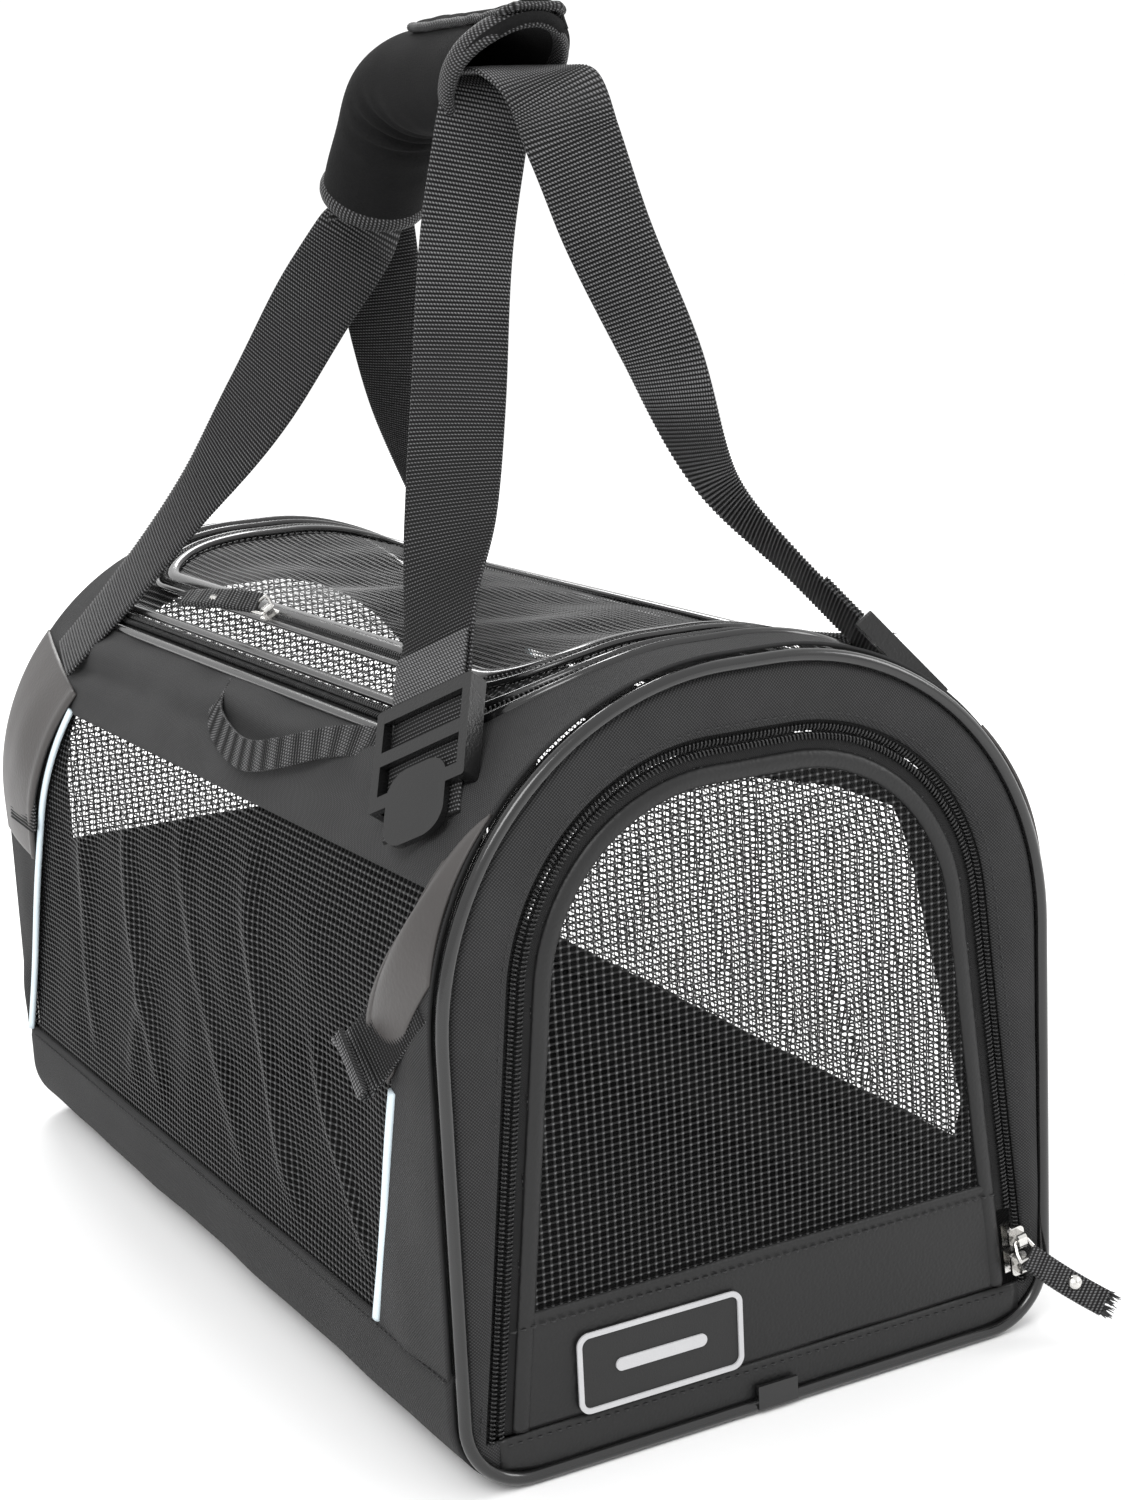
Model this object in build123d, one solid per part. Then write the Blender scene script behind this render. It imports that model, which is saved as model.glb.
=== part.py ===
from build123d import *
import math
import os

# Soft-sided pet carrier bag.
# Frame: X across the bag, the door faces -Y, +Z up, origin at the middle of the underside.
# All sizes are in millimetres.

os.makedirs("parts", exist_ok=True)

# Overall shell
WIDTH = 270.0             # across the end panels
HEIGHT = 296.0            # ground to the top of the end panels
LENGTH = 495.2            # over the piping at both ends
TOP_R = 125.0             # radius of the two upper corners of an end panel
BOTTOM_R = 30.0           # radius of the two lower corners
LEAST_R = 2.0             # smallest corner radius of a drawn-in outline
LEAST_FLAT = 5.0          # half of the least flat between the upper corners
FABRIC_T = 1.6            # thickness of the shell fabric
MESH_T = 0.8              # thickness of the net
CLEAR = 0.3               # gap between soft pieces that lie side by side

# End panels, seams and hoops
PIPE_R = 2.6              # radius of the piping bead
FLANGE_T = 1.0            # thickness of the piping's sewn flange
FLANGE_W = 5.0            # width of the flange
FLANGE_IN = 0.6           # flange edge, in from the end panel's outline
PANEL_T = 4.0             # padded fabric of an end panel
HOOP_R = 1.5              # spring wire hoop in each end seam
HOOP_GAP = 0.1            # hoop to the shell and to the flange
BEAD_SINK = 0.4           # how far the bead sinks into its own flange
JOIN_T = 1.6              # tab over the ends of the piping
JOIN_HALF = 9.0
JOIN_Z = (2.0, 11.5)

# Door
HINGE_Z = 20.0            # height of the door's sewn hinge line
DOOR_SIDE = 15.0          # zip line at the hinge, in from the bag's side
DOOR_LEAN = 6.2           # degrees that each leg of the zip leans in
DOOR_DROP = 32.0          # top of the zip line, below the top of the bag
DOOR_R_LESS = 40.0        # the zip line's upper corners are this much tighter than the bag's
DOOR_FOOT_GAP = 0.4       # foot of the door, above its hinge line
COIL_IN = 0.8             # zip coil, from the zip line
COIL_OUT = 3.2
COIL_T = 2.2
TAPE_W = 4.9              # zip tape on the frame side, from the zip line
TAPE_T = 0.8
PANEL_GAP = 4.2           # fabric edge of the end panel, from the zip line
DOOR_TAPE_W = 12.0        # zip tape on the door side
BIND_FROM = 8.0           # binding on the door side
BIND_TO = 14.0
BIND_T = 2.4
DOOR_BAND_Z = 66.0        # top of the plain band at the foot of the door
DOOR_BAND_T = 2.0
COIL_FOOT = 52.0          # the door side of the coil starts above the parked sliders
PARK_W = 16.0             # room for the parked sliders
PARK_DEPTH = 9.0
PARK_BESIDE = 1.5
BADGE_W = 72.0
BADGE_H = 32.0
BADGE_R = 5.0
BADGE_PLATE_T = 1.2
BADGE_T = 2.0             # over the raised rim and bar
BADGE_RIM_W = 2.0
BADGE_RIM_R = 3.4
BADGE_BAR = (39.6, 5.0)
BADGE_X = -50.0
BADGE_Z = 37.0

# Back panel
BACK_SILL = 140.0         # below this the back panel is plain fabric
BACK_BORDER = 26.0        # fabric border round the back window

# Sides
BAND_Z = 49.0             # top of the base band
SHOULDER_DROP = 70.0      # top of the side windows, below the top of the bag
WINDOW_FRONT_LOW = 61.8   # corners of a side window, in from the ends of the shell
WINDOW_FRONT_HIGH = 10.8
WINDOW_BACK_LOW = 1.8
WINDOW_BACK_HIGH = 75.8
TAPE_STRIP_W = 4.5        # reflective piping
TAPE_STRIP_T = 1.2
STRIP_FRONT_DROP = 78.0   # the front sleeve covers the reflective piping above this

# Stiffener and mat
BOARD_T = 4.0
BOARD_GAP = 12.0          # board edge to the end seams
BOARD_R = 12.0
MAT_T = 14.0
MAT_R = 22.0
MAT_SIDE = 16.6           # mat edge, in from the bag's side
MAT_EDGE_R = 4.0

# Top opening
TOP_SIDE = 40.0           # outer zip line, in from the bag's side
TOP_FRONT_IN = 26.8       # its front end, in from the end of the shell
TOP_BACK_IN = 13.8
TOP_CORNER_R = 62.0
RIM_W = 9.0               # width of the outer zip
GUSSET_W = 16.0           # net strip between the two zips
FLAP_RIM_W = 9.0          # bound border of the flap
RIM_T = 2.6
SLIT_W = 1.6              # slit between the two halves of a zip

# Straps and grip
STRAP_W = 38.0
STRAP_T = 1.8
GRIP_SIDE = 1.5           # strap edge to the inside of the grip
GRIP_HALF_T = 22.0
GRIP_WALL = 4.5
GRIP_BACK_Y = 52.0        # lower end of the grip, and its height over the bag
GRIP_BACK_UP = 164.0
GRIP_BEND_Y = 12.0
GRIP_BEND_UP = 212.0
GRIP_MOUTH_Y = -62.0
GRIP_FRONT_Y = -108.0
GRIP_BEND_R = 45.0
GRIP_BINDING_L = 6.0
HOOD_UP = 4.0             # the hood over the mouth starts above the middle line
STACK_GAP = 1.5           # half the distance between the two stacked straps
GRIP_FLAP_L = 84.0
GRIP_FLAP_W = 26.0
GRIP_FLAP_T = 3.0
GRIP_FLAP_GAP = 0.5       # flap to the crown of the grip
GRIP_FLAP_IN = 4.0        # flap edge, in from the front of the hood
STRAP_DRAWN = (135.0, 241.8, 296.0, 125.0)   # bag that the strap routes are laid out on
STRAP_DRAWN_TOP = 508.0   # height of the grip over that bag

# Strap sleeves: points are (in from the end of the shell, over the shoulder line)
SLEEVE_T = 1.6
TAIL_T = 2.0
FRONT_SLEEVE = [(0, -30), (30.8, -74), (42.8, -62), (35.8, -42), (15.8, -12), (0, 26)]
FRONT_TAIL = [(3, -44), (27.8, -76), (33.8, -66), (29.8, -42), (13.8, -14), (3, 18)]
BACK_SLEEVE_FOOT = -78.0
BACK_SLEEVE_TOP = 7.0
BACK_SLEEVE_RISE = (8.0, 19.0)
BACK_TAIL = [(41.8, -58), (22.8, -54), (29.8, 14), (68.8, 14)]

# Ladder locks
LOCK_RAIL = 4.0
LOCK_L = 44.0
LOCK_BAR = 6.0
LOCK_BAR_T = 2.6
LOCK_GAP = 0.5
LOCK_SIDE = 1.0           # strap edge to the rail
LOCK_BACK_BAR = 9.0       # middle of the back bar, towards the tongue
LOCK_EDGE_R = 1.2
TONGUE_W = 30.0
TONGUE_L = 32.0
TONGUE_R = 10.0
TONGUE_IN = 3.0           # middle of the tongue, out from the end of the lock
LOCK_MID = (-104.5, -189.0, 267.5)
LOCK_ACROSS = (0.43, -0.80, 0.41)
LOCK_DOWN = (-0.42, -0.58, -0.70)
LOCK_STRAP = (-58.0, 34.0)     # straight stretch of strap, up and down from the lock

# Zip sliders and pulls
SLIDER_W = 7.6
SLIDER_L = 10.0
SLIDER_T = 1.2
SLIDER_R = 2.2            # corners of its plates
SLIDER_APART = 1.0        # gap between the two door sliders
SLIDER_GAP = 0.4          # between a slider and what it runs over
POST_W = 0.9
POST_L = 4.0
WELD = 0.5                # how far the post runs into each plate
BAIL_W = 4.0
BAIL_L = 6.0
BAIL_H = 4.2
BAIL_R = 1.6
BAIL_SINK = 0.2
PIN_R = 0.9
PIN_UP = 2.2              # pin above the slider's plate
PIN_GAP = 0.35
ARM_T = 1.0
ARM_L = 6.0
PULL_W = 11.0
PULL_T = 2.2
PULL_L = 34.0
PULL_CLAMP_L = 3.0
PULL_LAP = 2.0            # web root inside the clamp
RIVET_R = 2.6
RIVET_UP = 0.8            # rivet head over the webbing
RIVET_AT = 21.08          # along the web, from its root
DOOR_REACH = (0.60, -0.62, 0.50)
TOP_REACH = (0.45, -0.60, 0.40)
FLAP_REACH = (-0.55, 0.75, 0.35)
SLIDER_LOW_Z = 29.0       # parked height of the lower door slider
TOP_SLIDER_Y = -128.0
FLAP_SLIDER_Y = 36.0

half_w = WIDTH / 2
seam_y = LENGTH / 2 - 2 * PIPE_R + BEAD_SINK     # outer face of the flanges
shell_y = seam_y - FLANGE_T                      # ends of the shell fabric
panel_inset = 2 * PIPE_R
lean_cos = math.cos(math.radians(DOOR_LEAN))
lean_tan = math.tan(math.radians(DOOR_LEAN))
top_r = min(TOP_R, half_w - 2 * LEAST_FLAT)      # rounded corners leave a flat between them
door_half = half_w - DOOR_SIDE
door_top = HEIGHT - DOOR_DROP
door_foot = HINGE_Z + DOOR_FOOT_GAP
shoulder_z = HEIGHT - SHOULDER_DROP
base_half = half_w - BOTTOM_R
top_half = half_w - TOP_SIDE
top_front = shell_y - TOP_FRONT_IN
top_back = shell_y - TOP_BACK_IN
flap_hinge_x = top_half - RIM_W - GUSSET_W
grip_half_w = STRAP_W / 2 + GRIP_SIDE + GRIP_WALL
grip_back_z = HEIGHT + GRIP_BACK_UP
grip_bend_z = HEIGHT + GRIP_BEND_UP


def save(solid, name):
    solid.label = name
    export_step(solid, f"parts/{name}.step")


def save_group(pieces, name):
    solids = []
    for piece in pieces:
        solids += piece.solids()
    save(Compound(children=solids), name)


def along_y(sketch, low, high):
    """A sketch in X and Z, carried from y = low to y = high."""
    plane = Plane((0, high, 0), x_dir=(1, 0, 0), z_dir=(0, -1, 0))
    return extrude(plane * sketch, amount=high - low)


def along_x(sketch, low, high):
    """A sketch in Y and Z, carried from x = low to x = high."""
    plane = Plane((low, 0, 0), x_dir=(0, 1, 0), z_dir=(1, 0, 0))
    return extrude(plane * sketch, amount=high - low)


def along_z(sketch, low, high):
    return extrude(Plane((0, 0, low)) * sketch, amount=high - low)


def box(x, y, z):
    """A block between two limits on each axis."""
    size = (x[1] - x[0], y[1] - y[0], z[1] - z[0])
    middle = ((x[0] + x[1]) / 2, (y[0] + y[1]) / 2, (z[0] + z[1]) / 2)
    return Pos(*middle) * Box(*size)


def mirrored(solid):
    return mirror(solid, about=Plane.YZ)


def arch(inset=0.0):
    """Outline of an end panel, drawn in by inset."""
    shape = Pos(0, HEIGHT / 2) * Rectangle(WIDTH - 2 * inset, HEIGHT - 2 * inset)
    top = shape.vertices().group_by(Axis.Y)[-1]
    shape = fillet(top, top_r - inset)
    low = shape.vertices().group_by(Axis.Y)[0]
    return fillet(low, max(BOTTOM_R - inset, LEAST_R))


def door_outline(inset=0.0, foot=HINGE_Z):
    """Zip line of the door, drawn in by inset on its legs and top."""
    foot_half = door_half - inset / lean_cos - (foot - HINGE_Z) * lean_tan
    top = door_top - inset
    top_half = foot_half - (top - foot) * lean_tan
    corners = [(-foot_half, foot), (foot_half, foot), (top_half, top), (-top_half, top)]
    shape = Polygon(*corners, align=None)
    return fillet(shape.vertices().group_by(Axis.Y)[-1], top_r - DOOR_R_LESS - inset)


def top_outline(inset=0.0):
    """Outer zip line of the top opening, seen from above."""
    length = top_front + top_back - 2 * inset
    middle = (top_back - top_front) / 2
    return Pos(0, middle) * RectangleRounded(2 * (top_half - inset), length, TOP_CORNER_R - inset)


def arch_over(x, half, height, radius):
    """Height of a rounded-top outline over a point x from its middle."""
    reach = abs(x) - (half - radius)
    if reach <= 0:
        return height
    return height - radius + math.sqrt(radius ** 2 - reach ** 2)


def arch_height(x):
    """Height of the shell's outer face over a point x from the middle."""
    return arch_over(x, half_w, HEIGHT, top_r)


def side_zone(points, x_low, x_high):
    return along_x(Polygon(*points, align=None), x_low, x_high)


# ---------------------------------------------------------------- shell
def make_shell():
    shell = along_y(arch(0) - arch(FABRIC_T), -shell_y, shell_y)
    y_all = (-shell_y, shell_y)
    save(shell & box((-base_half, base_half), y_all, (-1, BAND_Z)), "base_panel")
    band = shell & box((-half_w - 1, -base_half), y_all, (-1, BAND_Z))
    save(band, "base_band_left")
    save(mirrored(band), "base_band_right")

    left = (-half_w - 1, -FABRIC_T)
    window = side_zone(window_points(), *left)
    front = side_zone(front_corner_points(), *left)
    back = side_zone(back_corner_points(), *left)
    net_wall = along_y(arch(0) - arch(MESH_T), -shell_y, shell_y)
    for name, zone, wall in (
        ("side_mesh", window, net_wall),
        ("corner_panel_front", front, shell),
        ("corner_panel_back", back, shell),
    ):
        piece = wall & zone
        save(piece, name + "_left")
        save(mirrored(piece), name + "_right")

    upper = shell & box((-half_w, half_w), y_all, (shoulder_z, HEIGHT + 1))
    hole = along_z(top_outline(0), shoulder_z, HEIGHT + 1)
    upper = upper - hole
    front_cut = -top_front + TOP_CORNER_R
    back_cut = top_back - TOP_CORNER_R
    shoulder = upper & box((-half_w, 0), (front_cut, back_cut), (0, HEIGHT + 1))
    save(shoulder, "shoulder_band_left")
    save(mirrored(shoulder), "shoulder_band_right")
    save(upper & box((-half_w, half_w), (-shell_y, front_cut), (0, HEIGHT + 1)), "top_bridge_front")
    save(upper & box((-half_w, half_w), (back_cut, shell_y), (0, HEIGHT + 1)), "top_bridge_back")

    strip_wall = along_y(arch(-TAPE_STRIP_T) - arch(0), -shell_y, shell_y)
    strips = []
    front_top = shoulder_z - STRIP_FRONT_DROP
    for points in (strip_points(window_front, front_top), strip_points(window_back, shoulder_z)):
        strip = strip_wall & side_zone(points, -half_w - 3, -half_w + 20)
        strips += [strip, mirrored(strip)]
    save_group(strips, "reflective_piping")


def window_front(z):
    """Front edge of a side window at height z."""
    share = (z - BAND_Z) / (shoulder_z - BAND_Z)
    return WINDOW_FRONT_LOW + (WINDOW_FRONT_HIGH - WINDOW_FRONT_LOW) * share - shell_y


def window_back(z):
    """Back edge of a side window at height z."""
    share = (z - BAND_Z) / (shoulder_z - BAND_Z)
    return shell_y - WINDOW_BACK_LOW - (WINDOW_BACK_HIGH - WINDOW_BACK_LOW) * share


def window_points():
    return [
        (window_front(BAND_Z), BAND_Z),
        (window_back(BAND_Z), BAND_Z),
        (window_back(shoulder_z), shoulder_z),
        (window_front(shoulder_z), shoulder_z),
    ]


def front_corner_points():
    return [
        (-shell_y - 1, BAND_Z),
        (window_front(BAND_Z), BAND_Z),
        (window_front(shoulder_z), shoulder_z),
        (-shell_y - 1, shoulder_z),
    ]


def back_corner_points():
    return [
        (window_back(BAND_Z), BAND_Z),
        (shell_y + 1, BAND_Z),
        (shell_y + 1, shoulder_z),
        (window_back(shoulder_z), shoulder_z),
    ]


def strip_points(edge, top):
    """Reflective piping along one edge of a side window."""
    return [
        (edge(BAND_Z) - TAPE_STRIP_W, BAND_Z),
        (edge(BAND_Z), BAND_Z),
        (edge(top), top),
        (edge(top) - TAPE_STRIP_W, top),
    ]


# ---------------------------------------------------------------- end panels
def make_piping():
    """Bead and sewn flange round the front panel, facing -Y."""
    flange = along_y(arch(FLANGE_IN) - arch(FLANGE_IN + FLANGE_W), -seam_y, -shell_y)
    bead_y = -seam_y + BEAD_SINK - PIPE_R
    path = (Plane((0, bead_y, 0), x_dir=(1, 0, 0), z_dir=(0, -1, 0)) * arch(PIPE_R)).face().outer_wire()
    start = path.position_at(0)
    section = Plane(start, z_dir=path.tangent_at(0)) * Circle(PIPE_R)
    return flange + sweep(section, path=path)


def make_hoop():
    """Spring wire hoop behind the front flange."""
    inset = FABRIC_T + HOOP_R + HOOP_GAP
    hoop_y = -shell_y + HOOP_R + HOOP_GAP
    path = (Plane((0, hoop_y, 0), x_dir=(1, 0, 0), z_dir=(0, -1, 0)) * arch(inset)).face().outer_wire()
    section = Plane(path.position_at(0), z_dir=path.tangent_at(0)) * Circle(HOOP_R)
    return sweep(section, path=path)


def make_ends():
    panel_low = -seam_y - PANEL_T
    front = along_y(arch(panel_inset) - door_outline(-PANEL_GAP), panel_low, -seam_y)
    save(front, "front_panel")
    piping = make_piping()
    save(piping, "front_piping")
    save(mirror(piping, about=Plane.XZ), "back_piping")
    hoop = make_hoop()
    save(hoop, "front_hoop")
    save(mirror(hoop, about=Plane.XZ), "back_hoop")

    window = arch(panel_inset + BACK_BORDER)
    window = window & (Pos(0, HEIGHT / 2 + BACK_SILL / 2) * Rectangle(WIDTH, HEIGHT - BACK_SILL))
    save(along_y(arch(panel_inset) - window, seam_y, seam_y + PANEL_T), "back_panel")
    net_low = seam_y + PANEL_T / 2 - MESH_T / 2
    save(along_y(window, net_low, net_low + MESH_T), "back_mesh")

    join_y = (-seam_y - PANEL_T - JOIN_T, -seam_y - PANEL_T)
    join = box((-JOIN_HALF, JOIN_HALF), join_y, JOIN_Z)
    save(join - piping, "piping_join")


# ---------------------------------------------------------------- door
def make_door():
    tape = along_y(door_outline(-TAPE_W) - door_outline(-COIL_IN), -seam_y, -seam_y + TAPE_T)
    coil = along_y(door_outline(-COIL_OUT) - door_outline(-COIL_IN), -seam_y - COIL_T, -seam_y)
    save(tape + coil, "door_zip_frame_side")

    tape = door_outline(COIL_IN, door_foot) - door_outline(DOOR_TAPE_W, door_foot)
    coil = door_outline(COIL_IN, door_foot) - door_outline(COIL_OUT, door_foot)
    inner = along_y(tape, -seam_y, -seam_y + TAPE_T)
    inner = inner + along_y(coil, -seam_y - COIL_T, -seam_y)
    park_y = (-seam_y - PARK_DEPTH, -shell_y + PARK_DEPTH)
    park = box((door_half - PARK_W, half_w), park_y, (0, COIL_FOOT))
    park = park - along_y(door_outline(BIND_FROM - PARK_BESIDE, 0), *park_y)
    save(inner - park, "door_zip_door_side")

    binding = door_outline(BIND_FROM, door_foot) - door_outline(BIND_TO, door_foot)
    save(along_y(binding, -seam_y - BIND_T, -seam_y), "door_binding")
    net = along_y(door_outline(DOOR_TAPE_W, door_foot), -seam_y, -seam_y + MESH_T)
    save(net, "door_mesh")
    band = door_outline(BIND_TO, door_foot)
    band = band & (Pos(0, (door_foot + DOOR_BAND_Z) / 2) * Rectangle(WIDTH, DOOR_BAND_Z - door_foot))
    save(along_y(band, -seam_y - DOOR_BAND_T, -seam_y), "door_band")

    seat = Pos(BADGE_X, BADGE_Z)
    plate = seat * RectangleRounded(BADGE_W, BADGE_H, BADGE_R)
    inner = RectangleRounded(BADGE_W - 2 * BADGE_RIM_W, BADGE_H - 2 * BADGE_RIM_W, BADGE_RIM_R)
    face = -seam_y - DOOR_BAND_T
    save(along_y(plate, face - BADGE_PLATE_T, face), "badge")
    raised = (face - BADGE_T, face - BADGE_PLATE_T)
    rim = along_y(plate - seat * inner, *raised)
    save_group([rim, along_y(seat * SlotOverall(*BADGE_BAR), *raised)], "badge_relief")


# ---------------------------------------------------------------- base
def make_base():
    inner_y = shell_y - BOARD_GAP
    board = RectangleRounded(2 * base_half, 2 * inner_y, BOARD_R)
    low = FABRIC_T + BOARD_T
    save(along_z(board, FABRIC_T, low), "base_board")
    pad = RectangleRounded(2 * (half_w - MAT_SIDE), 2 * inner_y, MAT_R)
    mat = along_z(pad, low, low + MAT_T)
    mat = mat & along_y(arch(FABRIC_T + CLEAR), -inner_y, inner_y)
    save(fillet(mat.edges().group_by(Axis.Z)[-1], MAT_EDGE_R), "padded_mat")


# ---------------------------------------------------------------- top opening
def make_top():
    tape_wall = along_y(arch(FABRIC_T - RIM_T) - arch(FABRIC_T), -shell_y, shell_y)
    net_wall = along_y(arch(0) - arch(MESH_T), -shell_y, shell_y)
    upper = box((-half_w, half_w), (-shell_y, shell_y), (shoulder_z, HEIGHT + 3))
    slit_out = RIM_W / 2 - SLIT_W / 2
    slit_in = RIM_W / 2 + SLIT_W / 2
    for name, wall, low, high in (
        ("top_zip_outer_tape", tape_wall, 0, slit_out),
        ("top_zip_inner_tape", tape_wall, slit_in, RIM_W),
        ("top_gusset", net_wall, RIM_W, RIM_W + GUSSET_W),
    ):
        ring = along_z(top_outline(low) - top_outline(high), 0, HEIGHT + 3)
        save(wall & ring & upper, name)

    edge = RIM_W + GUSSET_W + SLIT_W
    flap = flap_zone(edge, flap_hinge_x - SLIT_W)
    middle = flap_zone(edge + FLAP_RIM_W, flap_hinge_x - SLIT_W - FLAP_RIM_W)
    save(tape_wall & (flap - middle), "top_flap_border")
    save(net_wall & middle, "top_flap_mesh")


def flap_zone(inset, x_high):
    zone = along_z(top_outline(inset), 0, HEIGHT + 3)
    return zone & box((-half_w, x_high), (-shell_y, shell_y), (shoulder_z, HEIGHT + 3))


# ---------------------------------------------------------------- straps and grip
def grip_slope():
    return math.atan2(grip_bend_z - grip_back_z, GRIP_BACK_Y - GRIP_BEND_Y)


def grip_path(shift, front_y):
    """Middle line of the grip, moved by shift towards its crown."""
    slope = grip_slope()
    out_y = shift * math.sin(slope)
    out_z = shift * math.cos(slope)
    turn = shift * math.tan(slope / 2)
    points = [
        (0, GRIP_BACK_Y + out_y, grip_back_z + out_z),
        (0, GRIP_BEND_Y + turn, grip_bend_z + shift),
        (0, front_y, grip_bend_z + shift),
    ]
    return FilletPolyline(*points, radius=GRIP_BEND_R + shift)


def grip_sweep(sketch, path):
    plane = Plane(path @ 0, x_dir=(1, 0, 0), z_dir=path % 0)
    return sweep(plane * sketch, path=path)


def make_grip():
    path = grip_path(0, GRIP_MOUTH_Y)
    outer = Ellipse(grip_half_w, GRIP_HALF_T)
    inner = Ellipse(grip_half_w - GRIP_WALL, GRIP_HALF_T - GRIP_WALL)
    wrap = grip_sweep(outer - inner, path)
    hood_y = (GRIP_FRONT_Y, GRIP_MOUTH_Y)
    hood = along_y(Pos(0, grip_bend_z) * (outer - inner), *hood_y)
    hood = hood & box((-WIDTH, WIDTH), hood_y, (grip_bend_z + HOOD_UP, grip_bend_z + HEIGHT))
    save(wrap + hood, "grip_wrap")
    web = Rectangle(STRAP_W, STRAP_T)
    save(grip_sweep(web, grip_path(STACK_GAP, GRIP_MOUTH_Y)), "grip_strap_right")
    save(grip_sweep(web, grip_path(-STACK_GAP, GRIP_MOUTH_Y)), "grip_strap_left")

    down = Vector(0, math.cos(grip_slope()), -math.sin(grip_slope()))
    plane = Plane((0, GRIP_BACK_Y, grip_back_z), x_dir=(1, 0, 0), z_dir=down)
    save(extrude(plane * (outer - inner), amount=GRIP_BINDING_L), "grip_binding_back")

    # closing flap, lying on the crown of the wrap
    flap_y = (GRIP_FRONT_Y + GRIP_FLAP_IN, GRIP_FRONT_Y + GRIP_FLAP_IN + GRIP_FLAP_L)
    under = (grip_half_w + GRIP_FLAP_GAP, GRIP_HALF_T + GRIP_FLAP_GAP)
    ring = Ellipse(under[0] + GRIP_FLAP_T, under[1] + GRIP_FLAP_T) - Ellipse(*under)
    flap = along_y(Pos(0, grip_bend_z) * ring, *flap_y)
    keep = box((-GRIP_FLAP_W / 2, GRIP_FLAP_W / 2), flap_y, (grip_bend_z, grip_bend_z + HEIGHT))
    save(flap & keep, "grip_flap")


def web_section(centre, across, along):
    across = Vector(*across).normalized()
    along = Vector(*along)
    along = (along - across * along.dot(across)).normalized()
    return Plane(centre, x_dir=across, z_dir=along) * Rectangle(STRAP_W, STRAP_T)


def ribbon(route):
    """A webbing strap through (centre, direction across it) stations."""
    centres = [Vector(*station[0]) for station in route]
    faces = []
    for index, (centre, across) in enumerate(route):
        before = centres[max(index - 1, 0)]
        after = centres[min(index + 1, len(route) - 1)]
        faces.append(web_section(centre, across, tuple(after - before)))
    return loft(faces, ruled=True)


def on_bag(point):
    """Carries a strap point to the present bag: its grip end follows the grip, its foot the shell."""
    x, y, z = point
    drawn_half, drawn_y, drawn_height, drawn_r = STRAP_DRAWN
    follow = min(max((STRAP_DRAWN_TOP - z) / (STRAP_DRAWN_TOP - drawn_height), 0), 1) ** 2
    new_x = x + math.copysign(follow * (half_w - drawn_half), x) if x else 0.0
    new_y = y + math.copysign(follow * (shell_y - drawn_y), y)
    lift = arch_height(new_x) - arch_over(x, drawn_half, drawn_height, drawn_r)
    rise = (HEIGHT - drawn_height) * (1 - follow) + lift * follow
    return (new_x, new_y, z + rise)


STRAP_ROUTES = {
    "front_left": [
        ((0, -62.6, 506.5), (1, 0, 0)),
        ((-3, -69, 502), (1, -0.15, 0)),
        ((-8, -71, 484), (0.95, -0.3, 0)),
        ((-16, -72, 452), (0.90, -0.43, 0)),
        ((-38, -97, 382), (0.88, -0.48, 0)),
        ((-60, -128, 340), (0.75, -0.62, 0.20)),
    ],
    "front_right": [
        ((0, -62.6, 509.5), (1, 0, 0)),
        ((2, -90, 508.5), (1, -0.1, 0)),
        ((6, -107, 500), (0.9, -0.4, 0.1)),
        ((10, -114, 480), (0.7, -0.6, 0.3)),
        ((18, -122, 446), (0.55, -0.75, 0.36)),
        ((36, -128, 400), (0.40, -0.90, 0.30)),
        ((60, -131, 342), (-0.1, -1.0, 0.25)),
    ],
    "back_left": [
        ((0, 51.2, 458.6), (1, 0, 0)),
        ((-0.5, 56.0, 452.8), (1, 0, 0)),
        ((-7, 62, 441), (0.88, -0.28, -0.38)),
        ((-18, 79, 418), (0.69, -0.44, -0.58)),
        ((-36, 114, 371), (0.45, -0.75, -0.50)),
        ((-58, 147, 327), (0.10, -1.0, -0.25)),
        ((-90, 176, 279), (0, -1, -0.1)),
        ((-117, 192, 247), (0, -1, 0)),
    ],
    "back_right": [
        ((0, 53.6, 460.4), (1, 0, 0)),
        ((0.5, 58.4, 454.6), (1, 0, 0)),
        ((7, 69, 446), (0.97, -0.2, 0)),
        ((16, 84, 422), (0.85, -0.45, 0.1)),
        ((33, 108, 380), (0.6, -0.75, 0.2)),
        ((58, 142, 330), (0.2, -1.0, 0.1)),
        ((90, 174, 281), (0, -1, 0)),
        ((117, 192, 247), (0, -1, 0)),
    ],
}


def lock_slope():
    """Unit directions across and down a ladder lock on the left side."""
    slope = Vector(*LOCK_DOWN)
    across = Vector(*LOCK_ACROSS).normalized()
    slope = (slope - across * slope.dot(across)).normalized()
    return across, slope


def lock_point(side, down):
    """A point on the middle line of a ladder lock, down its length."""
    point = Vector(*on_bag(LOCK_MID)) + lock_slope()[1] * down
    return (side * point.X, point.Y, point.Z)


def make_straps():
    for name, stations in STRAP_ROUTES.items():
        route = [(on_bag(centre), across) for centre, across in stations]
        if name.startswith("front"):
            # the straight stretch through the ladder lock
            side = 1 if name.endswith("left") else -1
            across = (side * LOCK_ACROSS[0], LOCK_ACROSS[1], LOCK_ACROSS[2])
            route += [(lock_point(side, down), across) for down in LOCK_STRAP]
        save(ribbon(route), f"strap_{name}")


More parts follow.
